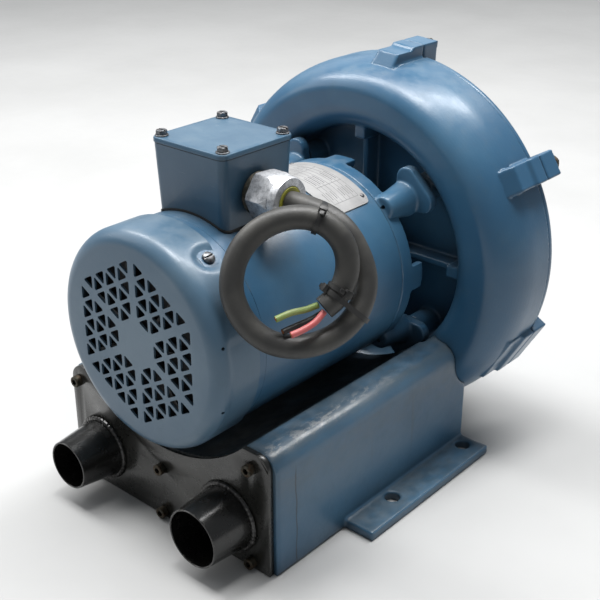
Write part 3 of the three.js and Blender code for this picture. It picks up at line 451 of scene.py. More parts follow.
def blue_paint(name, base=rgb(0.034, 0.112, 0.198), wear=1.0, recess_shade_strength=0.72, dust=0.14, crown=False):
    s = Shade(name, coat=0.12)
    broad = s.noise(9.0, 4.0)
    fine = s.noise(70.0, 6.0, 0.65)
    faded = rgb(base[0] * 1.35 + 0.006, base[1] * 1.22, base[2] * 1.14)
    deep = rgb(base[0] * 0.8, base[1] * 0.85, base[2] * 0.9)
    colour = s.mix(s.ramp(broad, 0.35, 0.7), deep, faded)
    colour = s.over(colour, rgb(0.06, 0.11, 0.15), s.ramp(fine, 0.5, 0.78), 0.25)
    thin = s.scratches(0.7, (1.0, 6.0, 60.0))
    across = s.scratches(0.72, (40.0, 9.0, 1.5))
    marks = s.math("MAXIMUM", thin, across)
    colour = s.over(colour, rgb(0.2, 0.27, 0.32), marks, 0.28)
    chips = s.times(s.edges(), s.ramp(fine, 0.55, 0.64))
    colour = s.over(colour, rgb(0.16, 0.18, 0.19), chips, 0.6 * wear)
    # Painted shade: near black in recesses found by ambient occlusion, made patchy by noise.
    recess_shade = s.times(s.recesses(0.035), s.ramp(s.noise(22.0, 5.0), 0.15, 0.55))
    colour = s.over(colour, rgb(0.016, 0.02, 0.021), recess_shade, recess_shade_strength)
    lying = s.times(s.ramp(s.upward(), 0.6, 1.0), s.ramp(fine, 0.3, 0.75))
    colour = s.over(colour, rgb(0.26, 0.3, 0.32), lying, dust)
    rough = s.plus(s.times(fine, 0.2), 0.24)
    rough = s.plus(rough, s.times(s.plus(recess_shade, lying), 0.15))
    if crown:
        colour, rough = worn_crown(s, colour, rough, fine)
    peel, waves = s.noise(900.0, 2.0), s.noise(120.0, 3.0)
    return s.finish(colour, rough, [(peel, 0.05), (waves, 0.12), (marks, -0.05)])


def worn_crown(s, colour, rough, fine):
    """Near-black painted shadow towards the trough, painted shade on upward faces, a speckled light line
    along the shoulder that is worn paint and a painted highlight, and dirt run down the side.
    """
    reach = s.math("ABSOLUTE", s.axis(0))
    inward = s.ramp(reach, 0.118, 0.072)
    smears = s.noise(30.0, 6.0, 0.68, (1.0, 0.4, 1.0))
    # Painted shadow under the motor: near black towards the trough, made patchy by smears.
    trough_shadow = s.times(s.times(inward, s.ramp(s.axis(2), 0.06, 0.1)), s.ramp(smears, 0.3, 0.62))
    colour = s.over(colour, rgb(0.02, 0.021, 0.02), trough_shadow, 0.85)
    # A speckled light line along the shoulder: worn paint, and also a painted highlight along the rounded
    # shoulder.
    beside = s.math("ABSOLUTE", s.math("SUBTRACT", reach, 0.1135))
    above = s.math("ABSOLUTE", s.math("SUBTRACT", s.axis(2), 0.1085))
    near = s.ramp(s.plus(beside, above), 0.013, 0.002)
    front = s.ramp(s.axis(1), 0.03, -0.14)
    streak = s.noise(260.0, 6.0, 0.75, (1.0, 0.4, 1.0))
    rubbed_highlight = s.times(s.times(near, front), s.ramp(streak, 0.5, 0.56))
    # Painted shade: the crown's upward faces darkened in smears, standing in for the motor's shade above
    # them.
    top = s.times(s.ramp(s.upward(), 0.5, 0.95), s.ramp(smears, 0.2, 0.6))
    colour = s.over(colour, rgb(0.03, 0.038, 0.04), top, 0.65)
    colour = s.over(colour, rgb(0.25, 0.26, 0.26), rubbed_highlight, 0.6)
    runs = s.ramp(s.noise(26.0, 5.0, 0.7, (1.0, 1.0, 0.14)), 0.6, 0.75)
    side = s.ramp(reach, 0.114, 0.117)
    runs = s.times(runs, side)
    colour = s.over(colour, rgb(0.045, 0.06, 0.07), runs, 0.4)
    dusty = s.times(s.times(side, s.ramp(s.axis(2), 0.03, 0.09)), s.ramp(smears, 0.25, 0.7))
    colour = s.over(colour, rgb(0.085, 0.105, 0.115), dusty, 0.5)
    waver = s.times(s.noise(30.0, 3.0), 0.008)
    drip = s.math("ABSOLUTE", s.plus(s.plus(s.axis(1), 0.166), waver))
    drip = s.times(s.ramp(drip, 0.0011, 0.0003), s.ramp(s.axis(2), 0.098, 0.085))
    colour = s.over(colour, rgb(0.02, 0.024, 0.026), s.times(drip, side), 0.7)
    rough = s.plus(rough, s.times(s.ramp(fine, 0.4, 0.7), 0.08))
    return colour, rough


def black_paint(name, base, dusty, stretch, strength=0.5, rough_low=0.14):
    s = Shade(name, coat=0.3)
    fine = s.noise(110.0, 6.0, 0.65)
    colour = s.mix(s.ramp(s.noise(14.0, 5.0), 0.5, 0.85), base, dusty)
    scratch = s.scratches(0.72, stretch, 40.0)
    colour = s.over(colour, rgb(0.16, 0.16, 0.15), scratch, strength)
    chips = s.times(s.edges(1.0), s.ramp(fine, 0.52, 0.62))
    colour = s.over(colour, rgb(0.12, 0.115, 0.1), chips, 0.6)
    rough = s.plus(s.times(fine, 0.3), rough_low)
    return s.finish(colour, rough, [(s.noise(700.0, 3.0), 0.04), (scratch, -0.05)])


def metal(name, bright, dull, rough_low=0.25, rust=0.0, lines=None, speckle=0.0, depth=0.04):
    s = Shade(name, metallic=0.85)
    fine = s.noise(260.0, 5.0, 0.6)
    colour = s.mix(s.ramp(fine, 0.35, 0.7), bright, dull)
    grain = s.noise(500.0, 3.0, 0.6, lines) if lines else s.noise(1400.0, 2.0)
    if speckle:
        flakes = s.ramp(s.cells(1500.0), 0.35, 0.9)
        colour = s.over(colour, rgb(0.85, 0.85, 0.86), flakes, speckle)
    if rust:
        rusty = s.times(s.ramp(s.noise(220.0, 6.0, 0.7), 0.42, 0.62), rust)
        colour = s.mix(rusty, colour, rgb(0.17, 0.075, 0.035))
    # Painted shade: dark in crevices found by ambient occlusion.
    recess_shade = s.times(s.recesses(0.004), 0.7)
    colour = s.mix(recess_shade, colour, rgb(0.03, 0.028, 0.025))
    rough = s.plus(s.times(grain, 0.35), rough_low)
    return s.finish(colour, rough, [(grain, depth)])


def polymer(name, base, worn, rough_low=0.35, grain_scale=600.0, depth=0.05, dust=0.3):
    s = Shade(name)
    broad = s.noise(40.0, 5.0)
    colour = s.mix(s.ramp(broad, 0.3, 0.75), base, worn)
    grain = s.noise(grain_scale, 4.0, 0.6)
    lying = s.times(s.ramp(s.upward(), 0.2, 1.0), s.ramp(broad, 0.35, 0.7))
    colour = s.over(colour, rgb(0.2, 0.19, 0.17), lying, dust)
    rough = s.plus(s.times(grain, 0.3), rough_low)
    return s.finish(colour, rough, [(grain, depth)])


BLUE = blue_paint("blue_paint")
BLUE_BASE = blue_paint("blue_paint_base", wear=1.3, crown=True)
BLUE_COVER = blue_paint("blue_paint_cowl", base=rgb(0.072, 0.138, 0.2), wear=0.6)
BLUE_BOX = blue_paint("blue_paint_box", base=rgb(0.04, 0.104, 0.168), wear=0.8, recess_shade_strength=0.5)
BLACK_PLATE = black_paint("black_paint_plate", rgb(0.011, 0.011, 0.0095), rgb(0.036, 0.0355, 0.03),
                          (30.0, 1.0, 3.0), 0.2)
BLACK_TUBE = black_paint("black_paint_tube", rgb(0.007, 0.007, 0.0065), rgb(0.011, 0.011, 0.01),
                         (60.0, 1.2, 12.0), 0.3, rough_low=0.1)
WELD = black_paint("weld_bead", rgb(0.012, 0.011, 0.01), rgb(0.03, 0.027, 0.023), (9.0, 9.0, 9.0))
STEEL = metal("turned_steel", rgb(0.55, 0.56, 0.57), rgb(0.34, 0.35, 0.36), lines=(1.0, 14.0, 1.0))
SCREW = metal("zinc_screw", rgb(0.22, 0.235, 0.25), rgb(0.07, 0.075, 0.08), rust=0.2)
RUSTY = metal("rusty_screw", rgb(0.07, 0.066, 0.052), rgb(0.025, 0.024, 0.018), 0.4, rust=0.2, depth=0.1)
STUD_RUST = metal("rusty_stud", rgb(0.1, 0.07, 0.05), rgb(0.04, 0.03, 0.024), 0.5, rust=0.9, depth=0.12)
ZINC = metal("zinc_casting", rgb(0.66, 0.67, 0.69), rgb(0.34, 0.35, 0.37), 0.32, speckle=0.45, depth=0.08)
LOCKNUT = metal("dark_locknut", rgb(0.1, 0.1, 0.085), rgb(0.035, 0.037, 0.03), 0.4, rust=0.12)
ALUMINIUM = metal("cast_aluminium", rgb(0.6, 0.61, 0.62), rgb(0.42, 0.43, 0.44), 0.32, depth=0.08)
LAMINATION = metal("laminations", rgb(0.25, 0.26, 0.28), rgb(0.12, 0.125, 0.13), 0.35,
                   lines=(1.0, 40.0, 1.0))
COPPER = metal("copper_winding", rgb(0.62, 0.27, 0.12), rgb(0.36, 0.13, 0.06), lines=(12.0, 3.0, 12.0))
PLASTIC = polymer("dark_plastic", rgb(0.02, 0.022, 0.025), rgb(0.035, 0.037, 0.04))
RUBBER = polymer("gasket_rubber", rgb(0.012, 0.012, 0.012), rgb(0.02, 0.02, 0.019), 0.55, dust=0.1)
FOAM = polymer("absorbing_liner", rgb(0.05, 0.05, 0.052), rgb(0.09, 0.09, 0.09), 0.8, 350.0, 1.2)
JACKET = polymer("cable_jacket", rgb(0.03, 0.0295, 0.028), rgb(0.048, 0.0465, 0.042), 0.33, 420.0, 0.1,
                 dust=0.2)
GREEN = polymer("green_insulation", rgb(0.2, 0.29, 0.07), rgb(0.3, 0.36, 0.12), 0.3, 300.0)
RED = polymer("red_insulation", rgb(0.52, 0.1, 0.1), rgb(0.6, 0.17, 0.16), 0.3, 300.0)
BLACK_WIRE = polymer("black_insulation", rgb(0.01, 0.01, 0.01), rgb(0.02, 0.02, 0.02), 0.3, 300.0)
TIE = polymer("tie_nylon", rgb(0.008, 0.008, 0.008), rgb(0.018, 0.018, 0.018), 0.28, 900.0, dust=0.15)
BUSHING = polymer("gland_bushing", rgb(0.45, 0.42, 0.03), rgb(0.3, 0.3, 0.05), 0.4, 200.0, dust=0.0)
PLATE_FOIL = polymer("nameplate_foil", rgb(0.34, 0.337, 0.333), rgb(0.27, 0.27, 0.27), 0.3, 150.0, 0.03,
                     dust=0.15)
PRINT = polymer("nameplate_print", rgb(0.07, 0.07, 0.08), rgb(0.14, 0.14, 0.15), 0.4, 300.0, 0.0)


# ---------------- cable
def smooth_route(route, spacing):
    """A centripetal Catmull-Rom curve through the points, in even steps."""
    p = [np.array(q, float) for q in route]
    p = [2 * p[0] - p[1]] + p + [2 * p[-1] - p[-2]]
    dense = []
    for a, b, c, d in zip(p[:-3], p[1:-2], p[2:-1], p[3:]):
        t1 = np.linalg.norm(b - a) ** 0.5
        t2 = t1 + np.linalg.norm(c - b) ** 0.5
        t3 = t2 + np.linalg.norm(d - c) ** 0.5
        for t in np.linspace(t1, t2, 24, endpoint=False):
            ab = a + (b - a) * t / t1
            bc = b + (c - b) * (t - t1) / (t2 - t1)
            cd = c + (d - c) * (t - t2) / (t3 - t2)
            abc = ab + (bc - ab) * t / t2
            bcd = bc + (cd - bc) * (t - t1) / (t3 - t1)
            dense.append(abc + (bcd - abc) * (t - t1) / (t2 - t1))
    dense.append(p[-2])
    dense = np.array(dense)
    along = np.concatenate([[0], np.cumsum(np.linalg.norm(np.diff(dense, axis=0), axis=1))])
    steps = np.linspace(0, along[-1], max(4, round(along[-1] / spacing)) + 1)
    return np.stack([np.interp(steps, along, dense[:, k]) for k in range(3)], 1)


def frames(path):
    """Unit tangents and two normals carried along the path without twist."""
    tangents = np.gradient(path, axis=0)
    tangents /= np.linalg.norm(tangents, axis=1)[:, None]
    first = np.cross(tangents[0], (0.0, 0.0, 1.0))
    first /= np.linalg.norm(first)
    sides = [first]
    for t in tangents[1:]:
        carried = sides[-1] - t * np.dot(sides[-1], t)
        sides.append(carried / np.linalg.norm(carried))
    sides = np.array(sides)
    return tangents, sides, np.cross(tangents, sides)


def tube(path, radius, sides, hollow=0.0, depth=0.0):
    """A tube along a path; a hollow end is recessed, as a jacket cut back from its cores."""
    tangents, u, v = frames(path)
    sections = [(i, radius, 0.0) for i in range(len(path))]
    if hollow:
        last = len(path) - 1
        sections += [(last, hollow, 0.0), (last, hollow - 0.1, -depth)]
    loops = []
    for i, r, shift in sections:
        ring = []
        for k in range(sides):
            a = 2 * math.pi * k / sides
            spread = r * (math.cos(a) * u[i] + math.sin(a) * v[i])
            ring.append(tuple(path[i] + tangents[i] * shift + spread))
        loops.append(ring)
    return loft(loops)


cable_path = smooth_route(CABLE_ROUTE, 3.0)
cable = tube(cable_path, CABLE_R, 32, hollow=7.0, depth=1.5)
piece(cable, "cable", JACKET, replaces=["power_cable"])

wire_looks = ((GREEN, "green_wire"), (RED, "red_wire"), (BLACK_WIRE, "black_wire"))
for (wire_name, route), (look, wire_slot) in zip(WIRES.items(), wire_looks):
    wire_path = smooth_route(route, 1.5)
    wire = tube(wire_path, WIRE_R, 20, hollow=1.5, depth=0.4)
    piece(wire, wire_name + "_insulation", look, replaces=[wire_name])
    strands = tube(wire_path[-3:] + (wire_path[-1] - wire_path[-3]) * 0.12, 1.35, 12)
    piece(strands, wire_name + "_strands", COPPER)


def cable_tie(name, index, other, head_at):
    """A tie round one or both strands; its head's angle counts from the side towards the camera."""
    tangents = frames(cable_path)[0]
    centre, t = cable_path[index], tangents[index]
    across = np.array(camera.location / MM) - centre
    across -= t * np.dot(across, t)
    b = across / np.linalg.norm(across)
    a = np.cross(b, t)
    centres = [(0.0, 0.0)]
    if other is not None:
        gap = cable_path[other] - centre
        centres.append((np.dot(gap, a), np.dot(gap, b)))

    def ring(radius, shift):
        band = wrapped([(*c, radius) for c in centres])
        return [tuple(centre + t * shift + a * p + b * q) for p, q in band]

    inner, outer, half = CABLE_R + 0.25, CABLE_R + 1.5, 2.0
    loops = [ring(inner, -half), ring(outer, -half), ring(outer, half), ring(inner, half)]
    strap = loft(loops, ring=True)
    out = math.cos(math.radians(head_at)) * a + math.sin(math.radians(head_at)) * b
    side = np.cross(t, out)
    seat = centre + out * (CABLE_R + 3.0)

    def bar(mid, size):
        corners = [mid + i * size[0] * out + j * size[1] * side + k * size[2] * t
                   for i in (-1, 1) for j in (-1, 1) for k in (-1, 1)]
        quads = [(0, 1, 3, 2), (4, 5, 7, 6), (0, 1, 5, 4), (2, 3, 7, 6), (0, 2, 6, 4), (1, 3, 7, 5)]
        return bevel(as_object(corners, quads), 0.5)

    tail = bar(seat + side * 4.5 + out * 0.6, (0.6, 3.0, 1.8))
    whole = joined([strap, bar(seat, (2.2, 2.8, 3.0)), tail])
    return piece(whole, name, TIE)


def nearest_other(index, away=40):
    """The point of the cable's other strand that lies closest to a point of it."""
    distance = np.linalg.norm(cable_path - cable_path[index], axis=1)
    distance[max(0, index - away):index + away] = 1e9
    return int(np.argmin(distance))


last_point = len(cable_path) - 1
upper = round(last_point * 0.812)
lower = last_point - 3
ties = [
    cable_tie("tie_upper", upper, nearest_other(upper), 40),
    cable_tie("tie_end", last_point - 6, None, 60),
    cable_tie("tie_lower", lower - 1, nearest_other(lower), 150),
]


# ---------------- blower ring
def ring_front():
    """The ring's outside from the mouth of the recess over the crest to the split, as (radius, y)."""
    inner = arc(CREST_INNER_R, MOUTH_Y, CREST_INNER_R - MOUTH_R, MOUTH_Y - CREST_Y, 180, 270, 12)
    outer = arc(CREST_OUTER_R, SHOULDER_Y, RIM_R - CREST_OUTER_R, SHOULDER_Y - CREST_Y, -90, 0, 18)
    return inner + outer + [(RIM_R, SPLIT_Y)]


def housing():
    front, wall = ring_front(), 5.6
    depth = SHOULDER_Y - CREST_Y - wall
    channel = arc(CREST_OUTER_R, SHOULDER_Y, CHAMBER_R - CREST_OUTER_R, depth, 0, -90, 10)
    depth = MOUTH_Y - CREST_Y
    channel += arc(CREST_INNER_R, MOUTH_Y + wall, CREST_INNER_R - CHANNEL_R, depth, 270, 180, 8)
    hub = [(21, 68), (36, 68), (36, FLOOR_Y), (MOUTH_R, FLOOR_Y)]
    inside = [(CHAMBER_R, SPLIT_Y)] + channel + [(CHANNEL_R, 96), (21, 96)]
    parts = [lathe(hub + front + inside, RING_ROUND)]
    for angle, half, face in LUGS:
        nose = [(148, LUG_FRONT_Y - 4), (face - 14, LUG_FRONT_Y - 4), (face - 3, LUG_FRONT_Y + 5),
                (face - 3, LUG_STEP_Y), (face, LUG_STEP_Y + 3), (face, SPLIT_Y), (161.5, SPLIT_Y),
                (161.5, 106), (148, 90)]
        loops = [[(r, y, AXIS_Z + side * half) for r, y in nose] for side in (-1, 1)]
        parts.append(around(loft(loops), angle))
    for k in range(4):
        parts.append(around(cylinder(13, COLLAR_BACK_Y + GAP, FLOOR_Y + 2, (EAR_R, AXIS_Z)), 45 + 90 * k))
        parts.append(around(spoke(34, MOUTH_R + 2, 71, FLOOR_Y + 2, 2.8), 90 * k))
        parts.append(around(spoke(102, MOUTH_R + 3, 62, FLOOR_Y + 2, 5.5), 90 * k))
    body = cast(parts, CAST_VOXEL, 3)
    settle_on_profile(body, [(MOUTH_R, FLOOR_Y - 3)] + front, 0.9)
    piece(body, "housing_casting", BLUE, replaces=["blower_housing"], sharp=CAST_SHARP)


def cover():
    front = SPLIT_Y + 0.4
    bulge = arc(130, COVER_BACK_Y, 29, 28, 0, 90, 12)
    inner = arc(118, COVER_BACK_Y, 14, 22, 90, 180, 8)
    rear = bulge + inner + [(88, 131), (34, 131), (34, 140), (26, 141.5)]
    hollow = [(4, 135), (22, 135), (22, front), (CHANNEL_R, front)]
    hollow += arc(132, COVER_BACK_Y, 14, 21, 180, 90, 6) + arc(132, COVER_BACK_Y, 21, 21, 80, 0, 6)
    sunk = COVER_BACK_Y - 1.2
    flange = [(153, front), (COVER_FLANGE_R - 2, front + 0.5), (COVER_FLANGE_R - 2, sunk),
              (FLANGE_FOOT_R, sunk)]
    parts = [lathe([(4, 141.5), (4, 135)] + hollow[1:] + flange + rear, RING_ROUND)]
    parts.append(cylinder(6, 134.9, 141.4))
    for k in range(6):
        parts.append(around(spoke(30, 102, COVER_BACK_Y - 2, 137, 2.5), 30 + 60 * k))
    for angle, half, face in LUGS:
        parts.append(around(spoke(150, face, front, LUG_BACK_Y, half), angle))
    body = cast(parts, CAST_VOXEL, 3)
    settle_on_profile(body, [(FLANGE_FOOT_R, sunk)] + rear, 0.9)
    # the flange is a crisp ring over the sunk casting, with a fillet up to the bulge
    fillet = arc(162.4, COVER_BACK_Y + 3.6, 3.6, 3.6, 270, 180, 6)
    rim = [(155, front), (COVER_FLANGE_R - 0.5, front), (COVER_FLANGE_R, front + 0.5),
           (COVER_FLANGE_R, COVER_BACK_Y - 0.8), (COVER_FLANGE_R - 0.8, COVER_BACK_Y)]
    rim += fillet + [(158, COVER_BACK_Y + 3.6), (155, COVER_BACK_Y + 1)]
    joined([body, lathe(rim, FINE_ROUND)])
    piece(body, "cover_casting", BLUE, replaces=["blower_cover"], sharp=CAST_SHARP)


def hexagon(centre, across_flats, turn=0.0):
    radius = across_flats / math.sqrt(3)
    return arc(*centre, radius, radius, turn, turn + 300, 5)


def hex_head(across_flats, height, centre, axis, low, turn=0.0):
    """A chamfered hexagon head standing on a face, cut by a cone as a turned bar is."""
    top = low + height
    head = prism(hexagon(centre, across_flats, turn), low, top, axis)
    clear = across_flats / math.sqrt(3) * 1.05
    cone = [(clear, low - 0.1), (clear, top - height * 0.28), (across_flats * 0.47, top + 0.02)]
    turned = lathe(cone, SMALL_ROUND, centre, axis, closed=False)
    return boolean(head, [turned], "INTERSECT")


def cover_bolts():
    for number, (angle, _, face) in enumerate(LUGS, 1):
        centre = (max(face - 8.5, RIM_R - 6), AXIS_Z)
        head = hex_head(BOLT_FLATS, 5.3, centre, "y", LUG_BACK_Y + 1.5)
        washer = cylinder(8, LUG_BACK_Y + 0.1, LUG_BACK_Y + 1.5, centre)
        bolt = joined([around(head, angle), around(washer, angle)])
        bevel(bolt, 0.25, limit_method="ANGLE")
        node = f"cover_bolt_{number}"
        piece(bolt, node + "_head", RUSTY, replaces=[node])


housing()
cover()
cover_bolts()
seal_outer = COVER_FLANGE_R - 0.9
seal_low, seal_high = SPLIT_Y - 0.4, SPLIT_Y + 0.9
split_seal = lathe([(160.5, seal_low), (seal_outer, seal_low), (seal_outer, seal_high), (160.5, seal_high)])
piece(split_seal, "split_seal", RUBBER)


# ---------------- motor
def vent_triangles():
    """Six sectors, each three rows of an equilateral triangle lattice, with rounded corners."""
    pitch, inset, outset = 15.05, 1.45, 4.2
    side = 2 * pitch / math.sqrt(3)
    for sector in range(6):
        for row in (1, 2, 3):
            for k in range(2 * row + 1):
                middle = (k - row) * side / 2
                near, far = outset + pitch * row + inset, outset + pitch * (row + 1) - inset
                tip, foot = (near + inset, far) if k % 2 == 0 else (far - inset, near)
                half = side / 2 - inset * math.sqrt(3)
                yield 60 * sector, [(tip, middle), (foot, middle + half), (foot, middle - half)]


def softened(corners, radius=1.1):
    outline = []
    for i, corner in enumerate(corners):
        here = np.array(corner)
        before, after = np.array(corners[i - 1]) - here, np.array(corners[(i + 1) % len(corners)]) - here
        before, after = before / np.linalg.norm(before), after / np.linalg.norm(after)
        start, end = here + before * radius * 1.7, here + after * radius * 1.7
        outline += [tuple(start), tuple((start + end + here) / 3), tuple(end)]
    return outline


def fan_cover():
    def cup(radius, corner, face, edge):
        rounding = arc(radius - corner, face + corner, corner, corner, -90, 0, 12)
        skirt = [(radius, y) for y in np.arange(face + corner + 2, edge, 1.5)]
        return lathe(rounding + skirt + [(radius, edge)], FINE_ROUND, closed=False)

    body = cup(COVER_R, COVER_ROUND, COVER_FACE_Y, COVER_EDGE_Y)
    inside = COVER_FACE_Y + COVER_WALL
    cut(body, cup(COVER_R - COVER_WALL, COVER_ROUND - COVER_WALL, inside, COVER_EDGE_Y + 1))
    tools = []
    for angle, corners in vent_triangles():
        outline = [(u, AXIS_Z + v) for u, v in softened(corners)]
        tools.append(around(prism(outline, COVER_FACE_Y - 1, inside + 1, "y"), angle))
    for angle in (15, -20):
        tools.append(around(cylinder(1.3, 70, 100, (-207.5, AXIS_Z), "x", 12), angle))
    cut(body, joined(tools))
    press_in(body)
    piece(body, "fan_cowl", BLUE_COVER, replaces=["fan_cover"], sharp=28)


def press_in(body):
    """Pressed seats round the three screws, and a long flattened pad on the right side of the skirt."""
    points = coordinates(body)
    x, z = points[:, 0], points[:, 2] - AXIS_Z
    radius, angle = np.hypot(x, z), np.degrees(np.arctan2(z, x))
    skirt = radius > COVER_R - 6
    depth = np.zeros(len(points))
    for seat in FAN_SCREW_ANGLES:
        turn = (angle - seat + 180) % 360 - 180
        distance = np.hypot(np.radians(turn) * COVER_R, (points[:, 1] - FAN_SCREW_Y) * 0.8)
        depth = np.maximum(depth, 3.2 / (1 + np.exp((distance - 10.5) / 1.0)))
    across = np.abs(angle + 11) / 29
    ends = np.clip((points[:, 1] + 206) / 5, 0, 1)
    pad = np.clip((1 - across) / 0.12, 0, 1) * ends
    depth = np.maximum(depth, 1.1 * pad * pad * (3 - 2 * pad))
    depth[~skirt] = 0
    scale = (radius - depth) / np.maximum(radius, 1e-6)
    points[:, 0] = x * scale
    points[:, 2] = AXIS_Z + z * scale
    set_coordinates(body, points)


def fan_cover_screws():
    low = COVER_R - 3.0
    for number, angle in enumerate(FAN_SCREW_ANGLES, 1):
        profile = [(5.2, low), (5.2, low + 1.4)] + arc(0.4, low + 1.4, 4.8, 2.2, 0, 84, 6)
        head = lathe(profile, SMALL_ROUND, (FAN_SCREW_Y, AXIS_Z), "x", closed=False)
        slot = spoke(low + 2.0, low + 6, FAN_SCREW_Y - 6, FAN_SCREW_Y + 6, 0.8)
        screw = around(cut(head, slot), angle)
        piece(screw, f"cowl_screw_{number}", SCREW, replaces=[f"fan_cover_screw_{number}"])


def motor_shell():
    inner = SHELL_R - SHELL_WALL
    front, back = SHELL_FRONT_Y - 0.2, SHELL_BACK_Y
    body = lathe([(inner, front), (SHELL_R - 0.2, front), (SHELL_R, front + 0.2), (SHELL_R, back - 0.4),
                  (SHELL_R - 0.4, back), (inner, back)], FINE_ROUND)
    cut(body, cylinder(12, 240, 290, (0, BOX_Y), "z"))
    piece(body, "motor_tube", BLUE, replaces=["motor_shell"])


def fan_end_bracket():
    back, rim, inner = SHELL_FRONT_Y - GAP, SHELL_R, SHELL_R - 6
    lip, web_front, web_back = -189, -176, -170
    hub_front, seat = FAN_BEARING_Y - 12, FAN_BEARING_Y - BEARING_SEAT
    body = lathe([(SHAFT_HOLE_R, hub_front), (HUB_R, hub_front), (HUB_R, web_front), (inner, web_front),
                  (inner, lip), (rim, lip), (rim, back - 0.2), (rim - 0.2, back), (inner, back),
                  (inner, web_back), (HUB_R, web_back), (HUB_R, back), (HUB_BORE_R, back),
                  (HUB_BORE_R, seat), (SHAFT_HOLE_R, seat)])
    piece(body, "rear_bracket", BLUE, replaces=["fan_end_bracket"])


def bracket_ear():
    """An ear's flange: a rounded trapezium, widest at its outer edge."""
    tip_r = EAR_REACH - 10
    lean = math.radians(7)
    circles = [(tip_r * math.cos(lean), AXIS_Z + side * tip_r * math.sin(lean), 10) for side in (-1, 1)]
    return prism(wrapped(circles + [(92, AXIS_Z, 12)], 96), EAR_FRONT_Y, EAR_BACK_Y, "y")


def drive_end_bracket():
    front, inner = SHELL_BACK_Y + GAP, SHELL_R - 7
    wall_front, hub_back = BRACKET_RIM_Y - 7, DRIVE_BEARING_Y + 9
    seat = DRIVE_BEARING_Y - BEARING_SEAT
    body = lathe([(inner, front), (SHELL_R, front), (SHELL_R, BRACKET_RIM_Y), (HUB_R, BRACKET_RIM_Y),
                  (HUB_R, hub_back), (HUB_BORE_R, hub_back), (HUB_BORE_R, seat), (SHAFT_HOLE_R, seat),
                  (SHAFT_HOLE_R, wall_front), (inner, wall_front)])
    parts, holes = [body], []
    boss = [(9.4, front + 2.4), (10.6, front + 3.6), (16, EAR_FRONT_Y + 1)]
    hole_at = (BOSS_AXIS_R + 2.6, AXIS_Z)
    for k in range(4):
        corner = 45 + 90 * k
        tooth = arc(0, AXIS_Z, SHELL_R, SHELL_R, -7.5, 7.5, 8) + arc(0, AXIS_Z, inner, inner, 7.5, -7.5, 8)
        parts.append(around(prism(tooth, BRACKET_RIM_Y - 3, BRACKET_BACK_Y, "y"), 90 * k))
        parts.append(around(lathe(boss, 48, (BOSS_AXIS_R, AXIS_Z), closed=False), corner))
        parts.append(around(bracket_ear(), corner))
        holes.append(around(cylinder(2, front - 2, front + 11, hole_at, sides=24), corner))
    bore = cylinder(inner, front - 3, wall_front, sides=96)
    whole = cast(parts, 0.95, 2, [bore])
    cut(whole, *holes)
    settle_on_profile(whole, [(SHELL_R, front + 1), (SHELL_R, BRACKET_BACK_Y - 1)], 0.7)
    piece(whole, "front_bracket", BLUE, replaces=["drive_end_bracket"], sharp=CAST_SHARP)


def motor_studs():
    for k in range(4):
        centre, node = (EAR_R, AXIS_Z), f"motor_bolt_{k + 1}"
        collar = hex_head(BOLT_FLATS, COLLAR_BACK_Y - EAR_BACK_Y - GAP, centre, "y", EAR_BACK_Y + GAP)
        shank = cylinder(4, STUD_FRONT_Y, STUD_BACK_Y, centre)
        whole = around(joined([collar, shank]), 45 + 90 * k)
        piece(whole, node + "_body", STUD_RUST, replaces=[node])


def curved_patch(angle0, angle1, y0, y1, r0, r1, corner=0.0):
    """A thin plate rolled round the motor, with its corners rounded in its own plane."""
    steps_u, steps_y = max(2, round((angle1 - angle0) / 1.5)), 24 if corner else 1
    half, mean = (angle1 - angle0) / 2, (angle0 + angle1) / 2
    rows = []
    for j in range(steps_y + 1):
        y = y0 + (y1 - y0) * j / steps_y
        into = max(0.0, corner - min(y - y0, y1 - y))
        narrower = corner - math.sqrt(max(0.0, corner ** 2 - into ** 2))
        reach = half - math.degrees(narrower / r1)
        rows.append([(mean + reach * (2 * i / steps_u - 1), y) for i in range(steps_u + 1)])
    points, faces = [], []
    for radius in (r0, r1):
        for row in rows:
            for angle, y in row:
                a = math.radians(angle)
                points.append((radius * math.cos(a), y, AXIS_Z + radius * math.sin(a)))
    w, count = steps_u + 1, (steps_u + 1) * (steps_y + 1)
    for j in range(steps_y):
        for i in range(steps_u):
            quad = (j * w + i, j * w + i + 1, (j + 1) * w + i + 1, (j + 1) * w + i)
            faces += [quad, tuple(q + count for q in quad)]
    rim = list(range(w)) + [j * w + w - 1 for j in range(1, steps_y + 1)]
    rim += [steps_y * w + i for i in range(w - 2, -1, -1)] + [j * w for j in range(steps_y - 1, 0, -1)]
    for a, b in zip(rim, rim[1:] + rim[:1]):
        faces.append((a, b, b + count, a + count))
    return as_object(points, faces)


def nameplate():
    low, high, front, back = 51.0, 114.0, -45.0, 6.0
    top = SHELL_R + 1.1
    foil = curved_patch(low, high, front, back, SHELL_R + GAP, top, 6.0)
    piece(foil, "nameplate_foil", PLATE_FOIL, replaces=["nameplate"])
    bars = []

    def bar(angle0, angle1, y0, y1, height=0.06):
        bars.append(curved_patch(angle0, angle1, y0, y1, top + 0.02, top + height))

    for k in range(7):
        y = back - 8 - 5.2 * k
        bar(low + 6, high - 7, y, y + 0.3)
        for start, width in ((9, 6), (22, 9), (40, 7)):
            if (k + start) % 4:
                bar(low + start, low + start + width, y - 2.6, y - 1.9, 0.05)
    for angle in (low + 6, low + 20, low + 38, high - 7):
        bar(angle, angle + 0.2, back - 39.2, back - 7.7)
    piece(joined(bars), "nameplate_print", PRINT)
    rivets = []
    dome = [(2.2, top - 0.3)] + arc(0.3, top, 1.9, 1.0, 0, 80, 5)
    for angle in (low + 5, high - 5):
        for y in (front + 5, back - 4):
            rivets.append(around(lathe(dome, 20, (y, AXIS_Z), "x", closed=False), angle))
    piece(joined(rivets), "nameplate_rivets", SCREW)


fan_cover()
fan_cover_screws()
motor_shell()
fan_end_bracket()
drive_end_bracket()
motor_studs()
nameplate()


